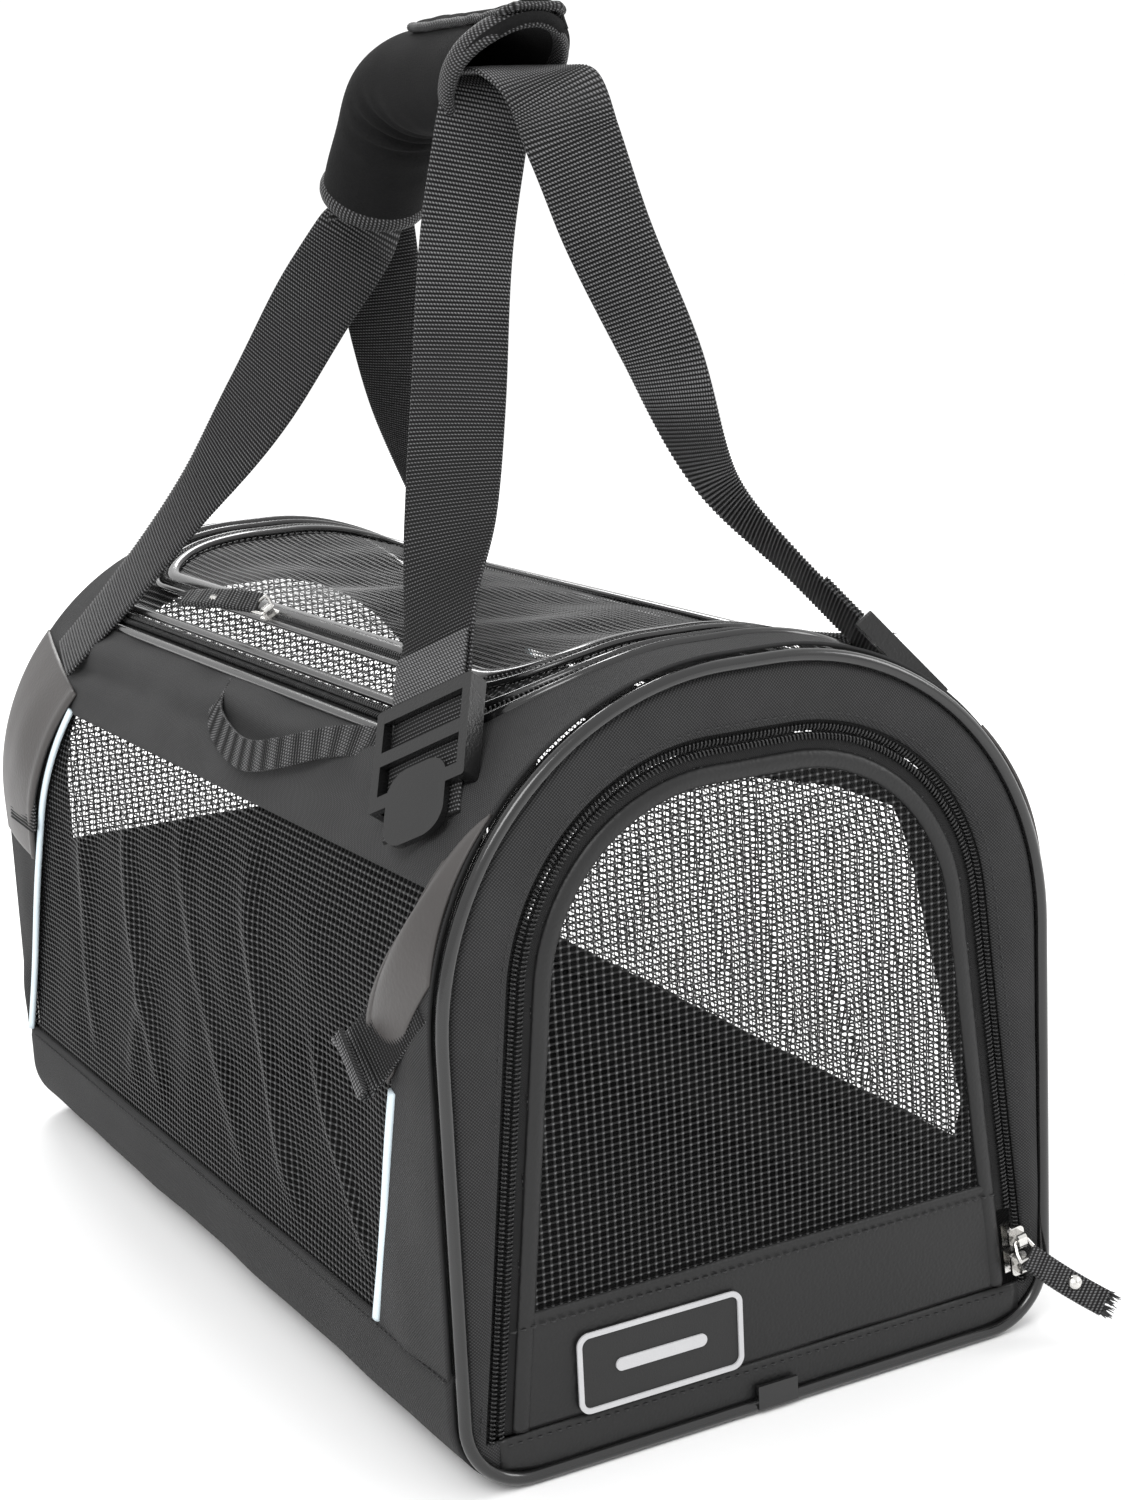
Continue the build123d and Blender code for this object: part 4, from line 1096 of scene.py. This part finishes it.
def ribbon(name, route, width, thick, material, rib=1.75, depth=0.34, cup=0.0, **more):
    """Webbing through (centre, direction across it) stations, with its ribs as real relief."""
    knots, total = run_of(np.array([centre for centre, _ in route], float))
    at = np.linspace(0, total, int(total / (rib / 4)))
    centres = hermite(knots, [centre for centre, _ in route], at)
    across = unit(hermite(knots, unit([way for _, way in route]), at))
    along = tangents(centres)
    across = unit(across - along * (across * along).sum(-1, keepdims=True))
    ups = np.cross(across, along)
    section = web_section(width, thick, cup)
    points, uv = swept(centres, ups, section)
    faces_up = np.sign(section[:, 1] - cup * (section[:, 0] * 2 / width) ** 2)
    inner = np.abs(section[:, 0]) < width * 0.49
    ribs = depth * np.cos(at * TURN / rib)[:, None] * (faces_up * inner)[None, :]
    points = points + ups[:, None] * ribs[..., None]
    faces = capped_tube(*points.shape[:2])
    return put(name, points, faces, look[material], uv=uv, slot="webbing", **more)


def make_straps():
    routes = [
        ("front_left", front_route(FRONT_LEFT, -1), MOUTH_Z),
        ("front_right", front_route(FRONT_RIGHT, 1), MOUTH_Z),
        ("back_left", BACK_LEFT, GRIP_BACK[1]),
        ("back_right", BACK_RIGHT, GRIP_BACK[1]),
    ]
    for word, route, top in routes:
        piece = ribbon(f"leg_{word}", route, STRAP_W, STRAP_T, "web", cup=0.5, replaces=[f"strap_{word}"])
        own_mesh(piece)
    for side, word in SIDES:
        fold = [(lock_point(side, down, 2.0), lock_across(side)) for down in (-44, -36, -28, -23)]
        ribbon(f"strap_fold_{word}", fold, STRAP_W - 1, 1.6, "web", body=f"ladder_lock_{word}")


def make_side_loops():
    """Webbing loop tacked on each shoulder."""
    for side, word in SIDES:
        spots = [(18, 257, 1.6), (4, 248, 4), (-24, 241, 6), (-56, 239, 8), (-84, 244, 9), (-112, 253, 6),
                 (-146, 260, 1.6)]  # y, z and lift off the shell
        route = []
        for k, (y, z, lift) in enumerate(spots):
            t = float(round_at_z(z))
            point = arch(side * t, float(y), float(lift))
            before, after = spots[max(k - 1, 0)], spots[min(k + 1, len(spots) - 1)]
            along = unit(arch(side * float(round_at_z(after[1])), float(after[0]))
                         - arch(side * float(round_at_z(before[1])), float(before[0])))
            normal = arch_normal(side * t)
            tilt = 0.25 if 0 < k < 6 else 0
            route.append((tuple(point), tuple(unit(np.cross(normal, along) + normal * tilt))))
        ribbon(f"side_loop_{word}", route, 13.0, 1.5, "tie", rib=1.4, depth=0.2, body="bag")


make_straps()
make_side_loops()


# ---------------------------------------------------------------- grip
def grip_line():
    """Middle line of the grip, from its back end over the bend to its front."""
    back, bend = np.array(GRIP_BACK), np.array(GRIP_BEND)
    first, second = unit(bend - back), np.array((-1.0, 0.0))
    turn = math.acos(first @ second)
    radius = 45.0
    reach = radius * math.tan(turn / 2)
    start = bend - first * reach
    middle = start + np.array((-first[1], first[0])) * radius
    normal = start - middle
    arc = []
    for s in np.linspace(0, 1, 20):
        a = turn * s
        c, d = math.cos(a), math.sin(a)
        arc.append(middle + np.array((normal[0] * c - normal[1] * d, normal[0] * d + normal[1] * c)))
    return even(np.array([back] + arc + [np.array((GRIP_FRONT_Y, bend[1]))]), 2.0, closed=False)


def make_grip():
    line = grip_line()
    run, total = run_of(line)
    mouth = total - (GRIP_MOUTH_Y - GRIP_FRONT_Y)
    turn = np.linspace(0, TURN, 96, endpoint=False)
    share = np.linspace(0, 1, 90)[:, None]
    reach = mouth + (total - mouth) * (0.5 + 0.5 * np.sin(turn)) ** 1.3
    at = share * reach[None, :]
    y = np.interp(at, run, line[:, 0])
    z = np.interp(at, run, line[:, 1])
    way = tangents(line)
    up_y, up_z = np.interp(at, run, way[:, 1]), -np.interp(at, run, way[:, 0])
    flare = ease(at, mouth - 30, total)
    belly = np.sin(math.pi * np.clip(at / mouth, 0, 1))
    wide = 24.0 + 1.6 * flare + 1.0 * belly
    high = 21.4 + 0.5 * flare + 0.6 * belly
    bend_at = run[np.argmin(np.abs(line - np.array(GRIP_BEND)).sum(1))]
    crease = np.exp(-((at - bend_at) / 22) ** 2) * np.clip(-np.sin(turn), 0, 1)[None, :]
    folds = 1.8 * crease * np.sin((at - bend_at) * TURN / 13)
    lumps = 0.9 * ripple(at, turn[None, :] * 24, 38, 101) + folds
    across = (wide + lumps) * np.cos(turn)[None, :]
    rise = (high + lumps) * np.sin(turn)[None, :]
    points = np.stack([across, y + up_y * rise, z + up_z * rise], -1)
    uv = joined(turn[None, :] * 24, at)
    points, uv = points.transpose(1, 0, 2), uv.transpose(1, 0, 2)
    wrap = sheet("grip_cover", points, uv, look["velvet"], 4.2, wrap_rows=True, flip=True, body="grip",
                 slot="grip_neoprene", replaces=["grip_wrap"])
    ends = [("grip_mouth_binding", points[:, -1], points[:, -4], 5.6, ()),
            ("grip_end_binding", points[:, 0], points[:, 3], 4.4, ["grip_binding_back"])]
    for name, ring, before, half, replaces in ends:
        inward = unit(ring.mean(0) - ring)
        back = unit(before - ring)
        centres = ring + inward * 1.8 + back * (half - 1.0)
        sweep(name, centres, -inward, round_section(half, 16, 3.1), look["tie"], closed=True, body="grip",
              slot="webbing", replaces=replaces)


def make_grip_flap():
    """Closing flap on the crown: its front end curls up."""
    low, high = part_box("grip_flap")
    y_front, y_back = low[1] / MM, high[1] / MM
    top = high[2] / MM
    y = np.linspace(y_back, y_front, 60)
    curl = ease(-y, -y_front - 26, -y_front)
    width = 11.0 + 2.0 * ease(y_back - y, 0, 14) - 3.5 * ease(-y, -y_front - 5, -y_front) ** 2
    x = np.linspace(-1, 1, 17)
    offset = x[None, :] * width[:, None]
    edge = 1.5 * (1 - x ** 8)[None, :] + 0.1
    middle = top - 1.9 - 0.0172 * offset ** 2 + (1.6 * curl ** 2)[:, None]
    middle = middle + 0.5 * ripple(y[:, None], offset, 17, 211)
    front = joined(offset + 2.0 * curl[:, None], y[:, None], middle + edge)
    under = joined(offset + 2.0 * curl[:, None], y[:, None], middle - edge)
    points = np.concatenate([front, under[:, ::-1]], 1)
    faces = capped_tube(*points.shape[:2])
    uv = joined(np.concatenate([offset, offset[:, ::-1] + 40], 1), y[:, None])
    put("grip_closing_flap", points, faces, look["velvet"], uv=uv, body="grip_flap", slot="grip_neoprene",
        replaces=["grip_flap"])
    left, right = (np.stack([front[:, edge, 0], y, middle[:, edge]], -1) for edge in (0, -1))
    ring = even(np.concatenate([left, right[::-1]]), 1.0)
    ups = np.tile((0.0, 0.0, 1.0), (len(ring), 1))
    sweep("grip_flap_binding", ring, ups, round_section(2.4, 12, 2.0), look["tie"], closed=True,
          body="grip_flap", slot="webbing")


def make_flap_hinge():
    """Sewn hinge of the closing flap: a strip from the wrap up to the flap's edge."""
    low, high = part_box("grip_flap")
    y = np.linspace(low[1] / MM + 3, high[1] / MM - 3, 30)[:, None]
    x = np.array([[16.5, 15.2, 14.0, 13.4]])
    z = np.array([[high[2] / MM - 10.5, high[2] / MM - 7.0, high[2] / MM - 3.0, high[2] / MM - 0.6]])
    points = joined(x, y, z)
    uv = joined(z, y)
    sheet("grip_flap_hinge_strip", points, uv, look["tie"], 1.2, body="grip", slot="webbing")


make_grip()
make_grip_flap()
make_flap_hinge()


# ---------------------------------------------------------------- sleeves
def spread(points, share):
    """Points at shares of the way along a list of them, each step counting the same."""
    return np.stack([np.interp(share, np.linspace(0, 1, len(points)), points[:, i]) for i in (0, 1)], -1)


def sleeve(name, side, root, mouth, bulge, replaces):
    """Leatherette cover over a strap's end: root is its sewn edge, mouth its free one, as (y, z) lines."""
    k = np.linspace(0, 1, 44)
    edges = [even(np.array(edge, float), 1.0, closed=False) for edge in (root, mouth)]
    a, b = (spread(edge, k) for edge in edges)
    share = np.linspace(0, 1, 30)[:, None, None]
    flat = a[None] * (1 - share) + b[None] * share
    y, z = flat[..., 0], flat[..., 1]
    s = share[..., 0]
    hump = np.sin(math.pi * np.clip(0.08 + 0.72 * s, 0, 1))
    hump = hump * np.sin(math.pi * np.clip(0.06 + 0.9 * k, 0, 1))[None] ** 0.7
    roll = 1.2 * np.exp(-((s - 0.96) / 0.04) ** 2)
    lift = 0.8 + bulge * hump + roll + 0.7 * ripple(y, z, 40, 111 + side) * hump
    points = arch(side * round_at_z(z), y, lift)
    uv = np.stack([y, z], -1)
    sheet(name, points, uv, look["sleeve"], 1.5, flip=side * (b[0, 0] - a[0, 0]) < 0, slot="leatherette",
          replaces=replaces)


def make_sleeves():
    back_edge = [(float(window_edge(WINDOW_BACK, z)), z) for z in (148.0, 190.0, 233.0)]
    for side, word in SIDES:
        sleeve(f"sleeve_front_{word}", side, [(-SHELL_Y, 196), (-SHELL_Y, 252)],
               [(-211, 152), (-203, 157), (-199, 164), (-201, 174), (-206, 184), (-216, 200), (-226, 214),
                (-232, 236)],
               5.5, [f"strap_sleeve_front_{word}"])
        sleeve(f"sleeve_back_{word}", side, [(SHELL_Y, 156), (SHELL_Y, 252)], back_edge, 6.0,
               [f"strap_sleeve_back_{word}"])
        for end, spots, across, width in (
            ("front", [(-232, 192, 2.4), (-221, 181, 3.2), (-211, 171, 4.6), (-203, 162, 7.5),
                       (-199, 157, 11.5), (-202, 158, 14.5), (-207, 163, 15)], (0, 0.7, 0.72), 26.0),
            ("back", [(206, 236, 2.4), (203, 215, 4), (203, 190, 5), (204, 165, 6)], (0, 1, 0), 36.0),
        ):
            route = [(tuple(arch(side * float(round_at_z(z)), float(y), float(lift))), across)
                     for y, z, lift in spots]
            ribbon(f"tail_{end}_{word}", route, width, 1.8, "web", replaces=[f"strap_tails_{end}"])


make_sleeves()


# ---------------------------------------------------------------- pulls
def leg_seat(z):
    x = DOOR_HALF - (z - HINGE_Z) * math.tan(LEAN)
    across = np.array((math.cos(LEAN), 0, math.sin(LEAN)))
    out = np.array((0.0, -1.0, 0.0))
    return np.array((x, -SEAM_Y, z)), across, np.cross(out, across), out


def arch_seat(x, y):
    t = float(round_at_x(x))
    out = arch_normal(t)
    along = np.array((0.0, 1.0, 0.0))
    return arch(t, float(y)), np.cross(along, out), along, out


SLIDER_T = 1.2
PIN_UP = 2.2  # pin above the slider's plate
LINK_HALF = 4.6
PULL_LONG = 36


def pull(name, seat, over, reach, body, replaces, seed):
    """Metal link, folded webbing with a rivet, and a frayed end."""
    origin, across, along, out = seat
    frame_of = np.stack([across, along, out])

    def at(*local):
        return origin + np.array(local, float) @ frame_of

    def way(local):
        return unit(np.array(local, float) @ frame_of)

    pin_z = over + SLIDER_T + PIN_UP
    reach = unit(np.array(reach, float))
    arm = unit(np.array((0, reach[1], reach[2])))
    root = np.array((0, 0, pin_z)) + arm * 6
    loop = [(-3.0, 0, pin_z), (3.0, 0, pin_z)]
    far = [tuple(np.array((x, 0, pin_z)) + arm * out_by)
           for x, out_by in ((LINK_HALF, 5), (LINK_HALF, 8), (-LINK_HALF, 8), (-LINK_HALF, 5))]
    wire = even(np.array([at(*p) for p in loop + far]), 0.7)
    ups = np.tile(way(np.cross((1, 0, 0), arm)), (len(wire), 1))
    sweep(f"{name}_link", wire, ups, round_section(0.85, 8), look["metal"], closed=True, body=body,
          slot="zip_metal", replaces=replaces)
    side = unit(np.array((1.0, 0, 0)) - reach * reach[0])
    stations = []
    for s in (0, 0.2, 0.45, 0.7, 1.0):
        droop = -1.4 * math.sin(math.pi * s)
        point = root + arm * 1.0 + reach * PULL_LONG * s + np.cross(reach, side) * droop
        twist = unit(side + np.cross(reach, side) * 0.25 * s)
        stations.append((tuple(at(*point)), tuple(way(twist))))
    ribbon(f"{name}_web", stations, 11.0, 2.6, "tie", rib=1.3, depth=0.16, body=body)
    pick = np.random.default_rng(seed)
    end = np.array(stations[-1][0])
    go, wide = way(reach), np.array(stations[-1][1])
    flat = np.cross(go, wide)
    points, faces = [], []
    for k in range(34):
        base = end + wide * pick.uniform(-5.2, 5.2) + flat * pick.uniform(-0.9, 0.9) - go
        tip = base + go * pick.uniform(3.0, 6.5) + wide * pick.normal(0, 0.7) + flat * pick.normal(0, 0.9)
        for spot, size in ((base, 0.42), ((base + tip) / 2 + flat * pick.normal(0, 0.3), 0.36), (tip, 0.14)):
            points += [spot + wide * size, spot + flat * size, spot - wide * size, spot - flat * size]
        faces += grid_faces(3, 4, False, True, start=12 * k)
        faces.append([12 * k + n for n in (8, 9, 10, 11)])
    put(f"{name}_fray", points, faces, look["thread"], body=body, slot="webbing")
    stud = at(*(root + reach * 22))
    turn = np.linspace(0, TURN, 20, endpoint=False)
    profile = [(0.2, 3.0), (1.6, 2.8), (2.6, 2.2), (3.0, 1.5)]
    profile += [(r, -h) for r, h in profile[::-1]]
    points = [stud + (wide * math.cos(a) + go * math.sin(a)) * r + flat * h for r, h in profile for a in turn]
    faces = grid_faces(len(profile), len(turn), False, True)
    faces += [list(range(20)), list(range(140, 160))[::-1]]
    put(f"{name}_rivet", points, faces, look["metal"], body=body, slot="zip_metal")


def make_pulls():
    door_over, top_over = 2.6, 1.4  # heights that the sliders clear above the zips
    pull("door_puller", leg_seat(40.0), door_over, (0.60, -0.62, 0.50), "door_pull", ["door_pull"], 201)
    pull("top_puller", arch_seat(TOP_HALF - 4.5, -128.0), top_over, (0.45, -0.60, 0.40), "top_pull",
         ["top_pull"], 202)
    pull("flap_puller", arch_seat(-(TOP_HALF - 25.8), 36.0), top_over, (-0.55, 0.75, 0.35), "flap_pull",
         ["flap_pull"], 203)


make_pulls()


# ---------------------------------------------------------------- lining, stitches and mat
def make_lining():
    """Seam lining round the right window, seen through the door."""
    hole = [(-200, 62), (226, 67), (150, 198), (60, 191), (-26, 191), (-115, 203), (-155, 202)]
    outer = [(-236, 51), (238, 51), (168, 224), (60, 224), (-26, 224), (-150, 224), (-232, 224)]
    k = np.linspace(0, 1, 161)

    a, b = (spread(np.array(loop + loop[:1], float), k)[:-1] for loop in (hole, outer))
    share = np.linspace(0, 1, 8)[None, :, None]
    flat = a[:, None] * (1 - share) + b[:, None] * share
    y, z = flat[..., 0], flat[..., 1]
    points = arch(round_at_z(z), y, -3.2 - 0.6 * ripple(y, z, 50, 131))
    sheet("window_lining_right", points, np.stack([y, z], -1), look["fabric"], 1.0, wrap_rows=True,
          slot="shell_fabric")


STITCH = 2.6
STITCH_GAP = 1.5


def stitches(name, line, ups, body="bag"):
    """A row of sewing stitches along a line."""
    run, total = run_of(line)
    count = int(total / (STITCH + STITCH_GAP))
    starts = np.arange(count) * (STITCH + STITCH_GAP)
    spots = np.linspace(0, STITCH, 4)[None, :] + starts[:, None]
    at = np.stack([np.interp(spots, run, line[:, k]) for k in range(3)], -1)
    up = unit(np.stack([np.interp(spots, run, ups[:, k]) for k in range(3)], -1))
    along = unit(at[:, 3:] - at[:, :1])
    across = np.cross(along, up)
    arc = np.array([-0.3, 1, 1, -0.3]) * 0.5
    size = np.array([0.4, 1, 1, 0.4]) * 0.42
    middle = at + up * arc[None, :, None]
    ring = [middle + across * size[None, :, None], middle + up * 0.25, middle - across * size[None, :, None],
            middle - up * 0.35]
    points = np.stack(ring, 2).reshape(-1, 3)
    faces = []
    for k in range(count):
        faces += grid_faces(4, 4, False, True, start=16 * k)
        faces += [[16 * k + n for n in (3, 2, 1, 0)], [16 * k + n for n in (12, 13, 14, 15)]]
    put(name, points, faces, look["thread"], body=body, slot="webbing")


def front_stitches(name, outline, lift, facing=-1, body="bag", closed=True):
    line = np.vstack([outline, outline[:1]]) if closed else outline
    y = facing * (SEAM_Y + lift)
    points = joined(line[:, 0], y, line[:, 1])
    stitches(name, points, np.tile((0.0, float(facing), 0.0), (len(points), 1)), body=body)


def side_stitches(name, side, z, lift, front=-SHELL_Y + 3, back=SHELL_Y - 3):
    y = np.arange(front, back, 3.0)
    t = np.full(len(y), float(round_at_z(z)))
    points = arch(side * t, y, lift)
    stitches(name, points, arch_normal(side * t))


def make_stitches():
    front_stitches("stitch_door_frame", door_line(-7.2, HINGE_Z + 4), 3.05, closed=False)
    band = np.array([(-112.0, DOOR_BAND_Z - 5), (112.0, DOOR_BAND_Z - 5)])
    front_stitches("stitch_door_band", even(band, 3.0, closed=False), 2.3, body="door", closed=False)
    foot = np.array([(-116.0, HINGE_Z - 2.5), (116.0, HINGE_Z - 2.5)])
    front_stitches("stitch_foot", even(foot, 3.0, closed=False), 2.35, closed=False)
    front_stitches("stitch_back_window", back_window(4.5), 3.4, facing=1)
    for side, word in SIDES:
        side_stitches(f"stitch_base_{word}", side, BAND_Z - 3.5, 1.0)
        side_stitches(f"stitch_shoulder_{word}", side, SHOULDER_Z + 4.5, 0.5, -SHELL_Y + 8, SHELL_Y - 8)


PRESSURE = 4.0
TRAVEL = 5.0
FRAMES = 20


def simulate(piece, pinned):
    """Blows the piece up with cloth pressure, then keeps the result with each point's travel capped."""
    before = np.array([v.co for v in piece.data.vertices], float)
    cloth = piece.modifiers.new("cloth", "CLOTH")
    cloth.settings.use_pressure = True
    cloth.settings.uniform_pressure_force = PRESSURE
    cloth.settings.quality = 4
    cloth.settings.effector_weights.gravity = 0
    cloth.collision_settings.use_collision = False
    group = piece.vertex_groups.new(name="pin")
    group.add(np.nonzero(pinned)[0].tolist(), 1.0, "ADD")
    cloth.settings.vertex_group_mass = "pin"
    scene = bpy.context.scene
    for step in range(1, FRAMES + 1):
        scene.frame_set(step)
    after = piece.evaluated_get(bpy.context.evaluated_depsgraph_get()).data
    moved = np.array([v.co for v in after.vertices], float) - before
    piece.modifiers.remove(cloth)
    scene.frame_set(1)
    far = np.linalg.norm(moved, axis=1, keepdims=True)
    moved *= np.minimum(1, TRAVEL * MM / np.maximum(far, 1e-9))
    return before + moved


def make_mat():
    """Padded mat: blown up between its quilting lines."""
    low, high = (np.array(c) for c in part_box("padded_mat"))
    mesh = nodes["padded_mat"].data.copy()
    piece = bpy.data.objects.new("quilted_mat", mesh)
    bpy.context.scene.collection.objects.link(piece)
    middle = Vector((low + high) / 2)
    smaller = Matrix.Diagonal((0.985, 0.99, 0.8, 1))  # room to swell
    mesh.transform(Matrix.Translation(middle) @ smaller @ Matrix.Translation(-middle))
    remesh = piece.modifiers.new("remesh", "REMESH")
    remesh.mode = "VOXEL"
    remesh.voxel_size = 6.0 * MM
    done = bpy.data.meshes.new_from_object(piece.evaluated_get(bpy.context.evaluated_depsgraph_get()))
    piece.modifiers.clear()
    piece.data = done
    at = np.array([v.co for v in done.vertices], float) / MM
    lines = (np.abs((at[:, 1] + 230) % 76 - 38) < 3.2) | (np.abs(np.abs(at[:, 0]) - 40) < 3.2)
    after = simulate(piece, lines)
    after[:, 2] = np.clip(after[:, 2], low[2], high[2] + 0.002)
    after[:, 0] = np.clip(after[:, 0], low[0], high[0])
    done.vertices.foreach_set("co", after.astype(np.float32).ravel())
    done.update()
    done.materials.clear()
    done.materials.append(look["fleece"])
    done.polygons.foreach_set("use_smooth", [True] * len(done.polygons))
    piece.modifiers.new("smooth", "SUBSURF").levels = 1
    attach(piece, "bag")
    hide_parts("padded_mat")


def make_reflective():
    """Reflective piping on both edges of each side window."""
    for side, side_word in SIDES:
        for edge, top, word in ((WINDOW_FRONT, 149.0, "front"), (WINDOW_BACK, SHOULDER_Z, "back")):
            z = np.linspace(BAND_Z + 0.5, top, 70)
            y = window_edge(edge, z) - 2.2
            t = side * round_at_z(z)
            lift = 2.0 + 0.3 * np.sin(z / 17)
            sweep(f"reflective_{word}_{side_word}", arch(t, y, lift), arch_normal(t),
                  round_section(2.3, 10, 1.5), look["reflective"], slot="reflective",
                  replaces=["reflective_piping"])


make_reflective()
make_lining()
make_stitches()
make_mat()


# ---------------------------------------------------------------- the room
FLOOR_HALF = 6.0  # metres
FLOOR_Z = -0.0006  # metres, just under the bag


def make_room():
    """Pale floor, and soft light from above, the side and behind."""
    material, tree = start("pale_floor")
    tree.nodes["Principled BSDF"].inputs["Base Color"].default_value = (0.93, 0.93, 0.93, 1)
    tree.nodes["Principled BSDF"].inputs["Roughness"].default_value = 0.9
    mesh = bpy.data.meshes.new("floor")
    s = FLOOR_HALF
    mesh.from_pydata([(-s, -s, 0), (s, -s, 0), (s, s, 0), (-s, s, 0)], [], [(0, 1, 2, 3)])
    mesh.materials.append(material)
    floor = bpy.data.objects.new("floor", mesh)
    bpy.context.scene.collection.objects.link(floor)
    floor.location.z = FLOOR_Z

    world = bpy.data.worlds.new("soft_room")
    bpy.context.scene.world = world
    world.use_nodes = True
    world.node_tree.nodes["Background"].inputs[0].default_value = (1.0, 1.0, 1.0, 1)
    world.node_tree.nodes["Background"].inputs[1].default_value = 1.1
    # name, place, size and power
    lamps = [("key", (-1.6, -1.5, 2.2), 1.2, 38), ("side", (2.0, -1.0, 1.3), 0.9, 14),
             ("rim", (0.4, 2.0, 2.0), 1.0, 34)]
    for name, at, size, power in lamps:
        lamp = bpy.data.lights.new(name, "AREA")
        lamp.size = size
        lamp.energy = power
        holder = bpy.data.objects.new(name, lamp)
        holder.location = at
        holder.rotation_euler = (Vector((0, 0, 0.2)) - Vector(at)).to_track_quat("-Z", "Y").to_euler()
        bpy.context.scene.collection.objects.link(holder)


CAMERA_AT = (-500.7, -1021.4, 473.8)
CAMERA_ANGLES = (-28.506, 12.834, -2.798)  # turn, rise and roll in degrees
CAMERA_LENS = 62.25


def make_camera():
    """The camera at the photo's viewing angle."""
    turn, rise, roll = (math.radians(angle) for angle in CAMERA_ANGLES)
    back = Vector((math.sin(turn) * math.cos(rise), -math.cos(turn) * math.cos(rise), math.sin(rise)))
    right = (-back).cross(Vector((0, 0, 1))).normalized()
    up = right.cross(-back)
    side = math.cos(roll) * right + math.sin(roll) * up
    top = math.cos(roll) * up - math.sin(roll) * right
    data = bpy.data.cameras.new("camera")
    data.lens = CAMERA_LENS
    data.sensor_width = 36
    holder = bpy.data.objects.new("camera", data)
    bpy.context.scene.collection.objects.link(holder)
    turned = Matrix((side, top, back)).transposed().to_4x4()
    holder.matrix_world = Matrix.Translation(Vector(CAMERA_AT) * MM) @ turned
    bpy.context.scene.camera = holder


make_room()
make_camera()
bpy.context.scene.view_settings.view_transform = "Standard"


# ---------------------------------------------------------------- CAD nodes that stay
def paint(material, *names):
    for name in names:
        nodes[name].data.materials.clear()
        nodes[name].data.materials.append(look[material])


paint("vinyl", "front_piping", "back_piping", "piping_join")
paint("wire", "front_hoop", "back_hoop")
paint("rubber", "badge")
paint("relief", "badge_relief")
paint("board", "base_board")
paint("lock", "ladder_lock_left", "ladder_lock_right")
paint("metal", "door_slider_lower", "door_slider_upper", "top_slider", "flap_slider")
paint("web", "grip_strap_left", "grip_strap_right")
for word in ("left", "right"):
    bevel = nodes[f"ladder_lock_{word}"].modifiers.new("soft_edges", "BEVEL")
    bevel.width = 0.7 * MM
    bevel.segments = 3
    bevel.limit_method = "ANGLE"
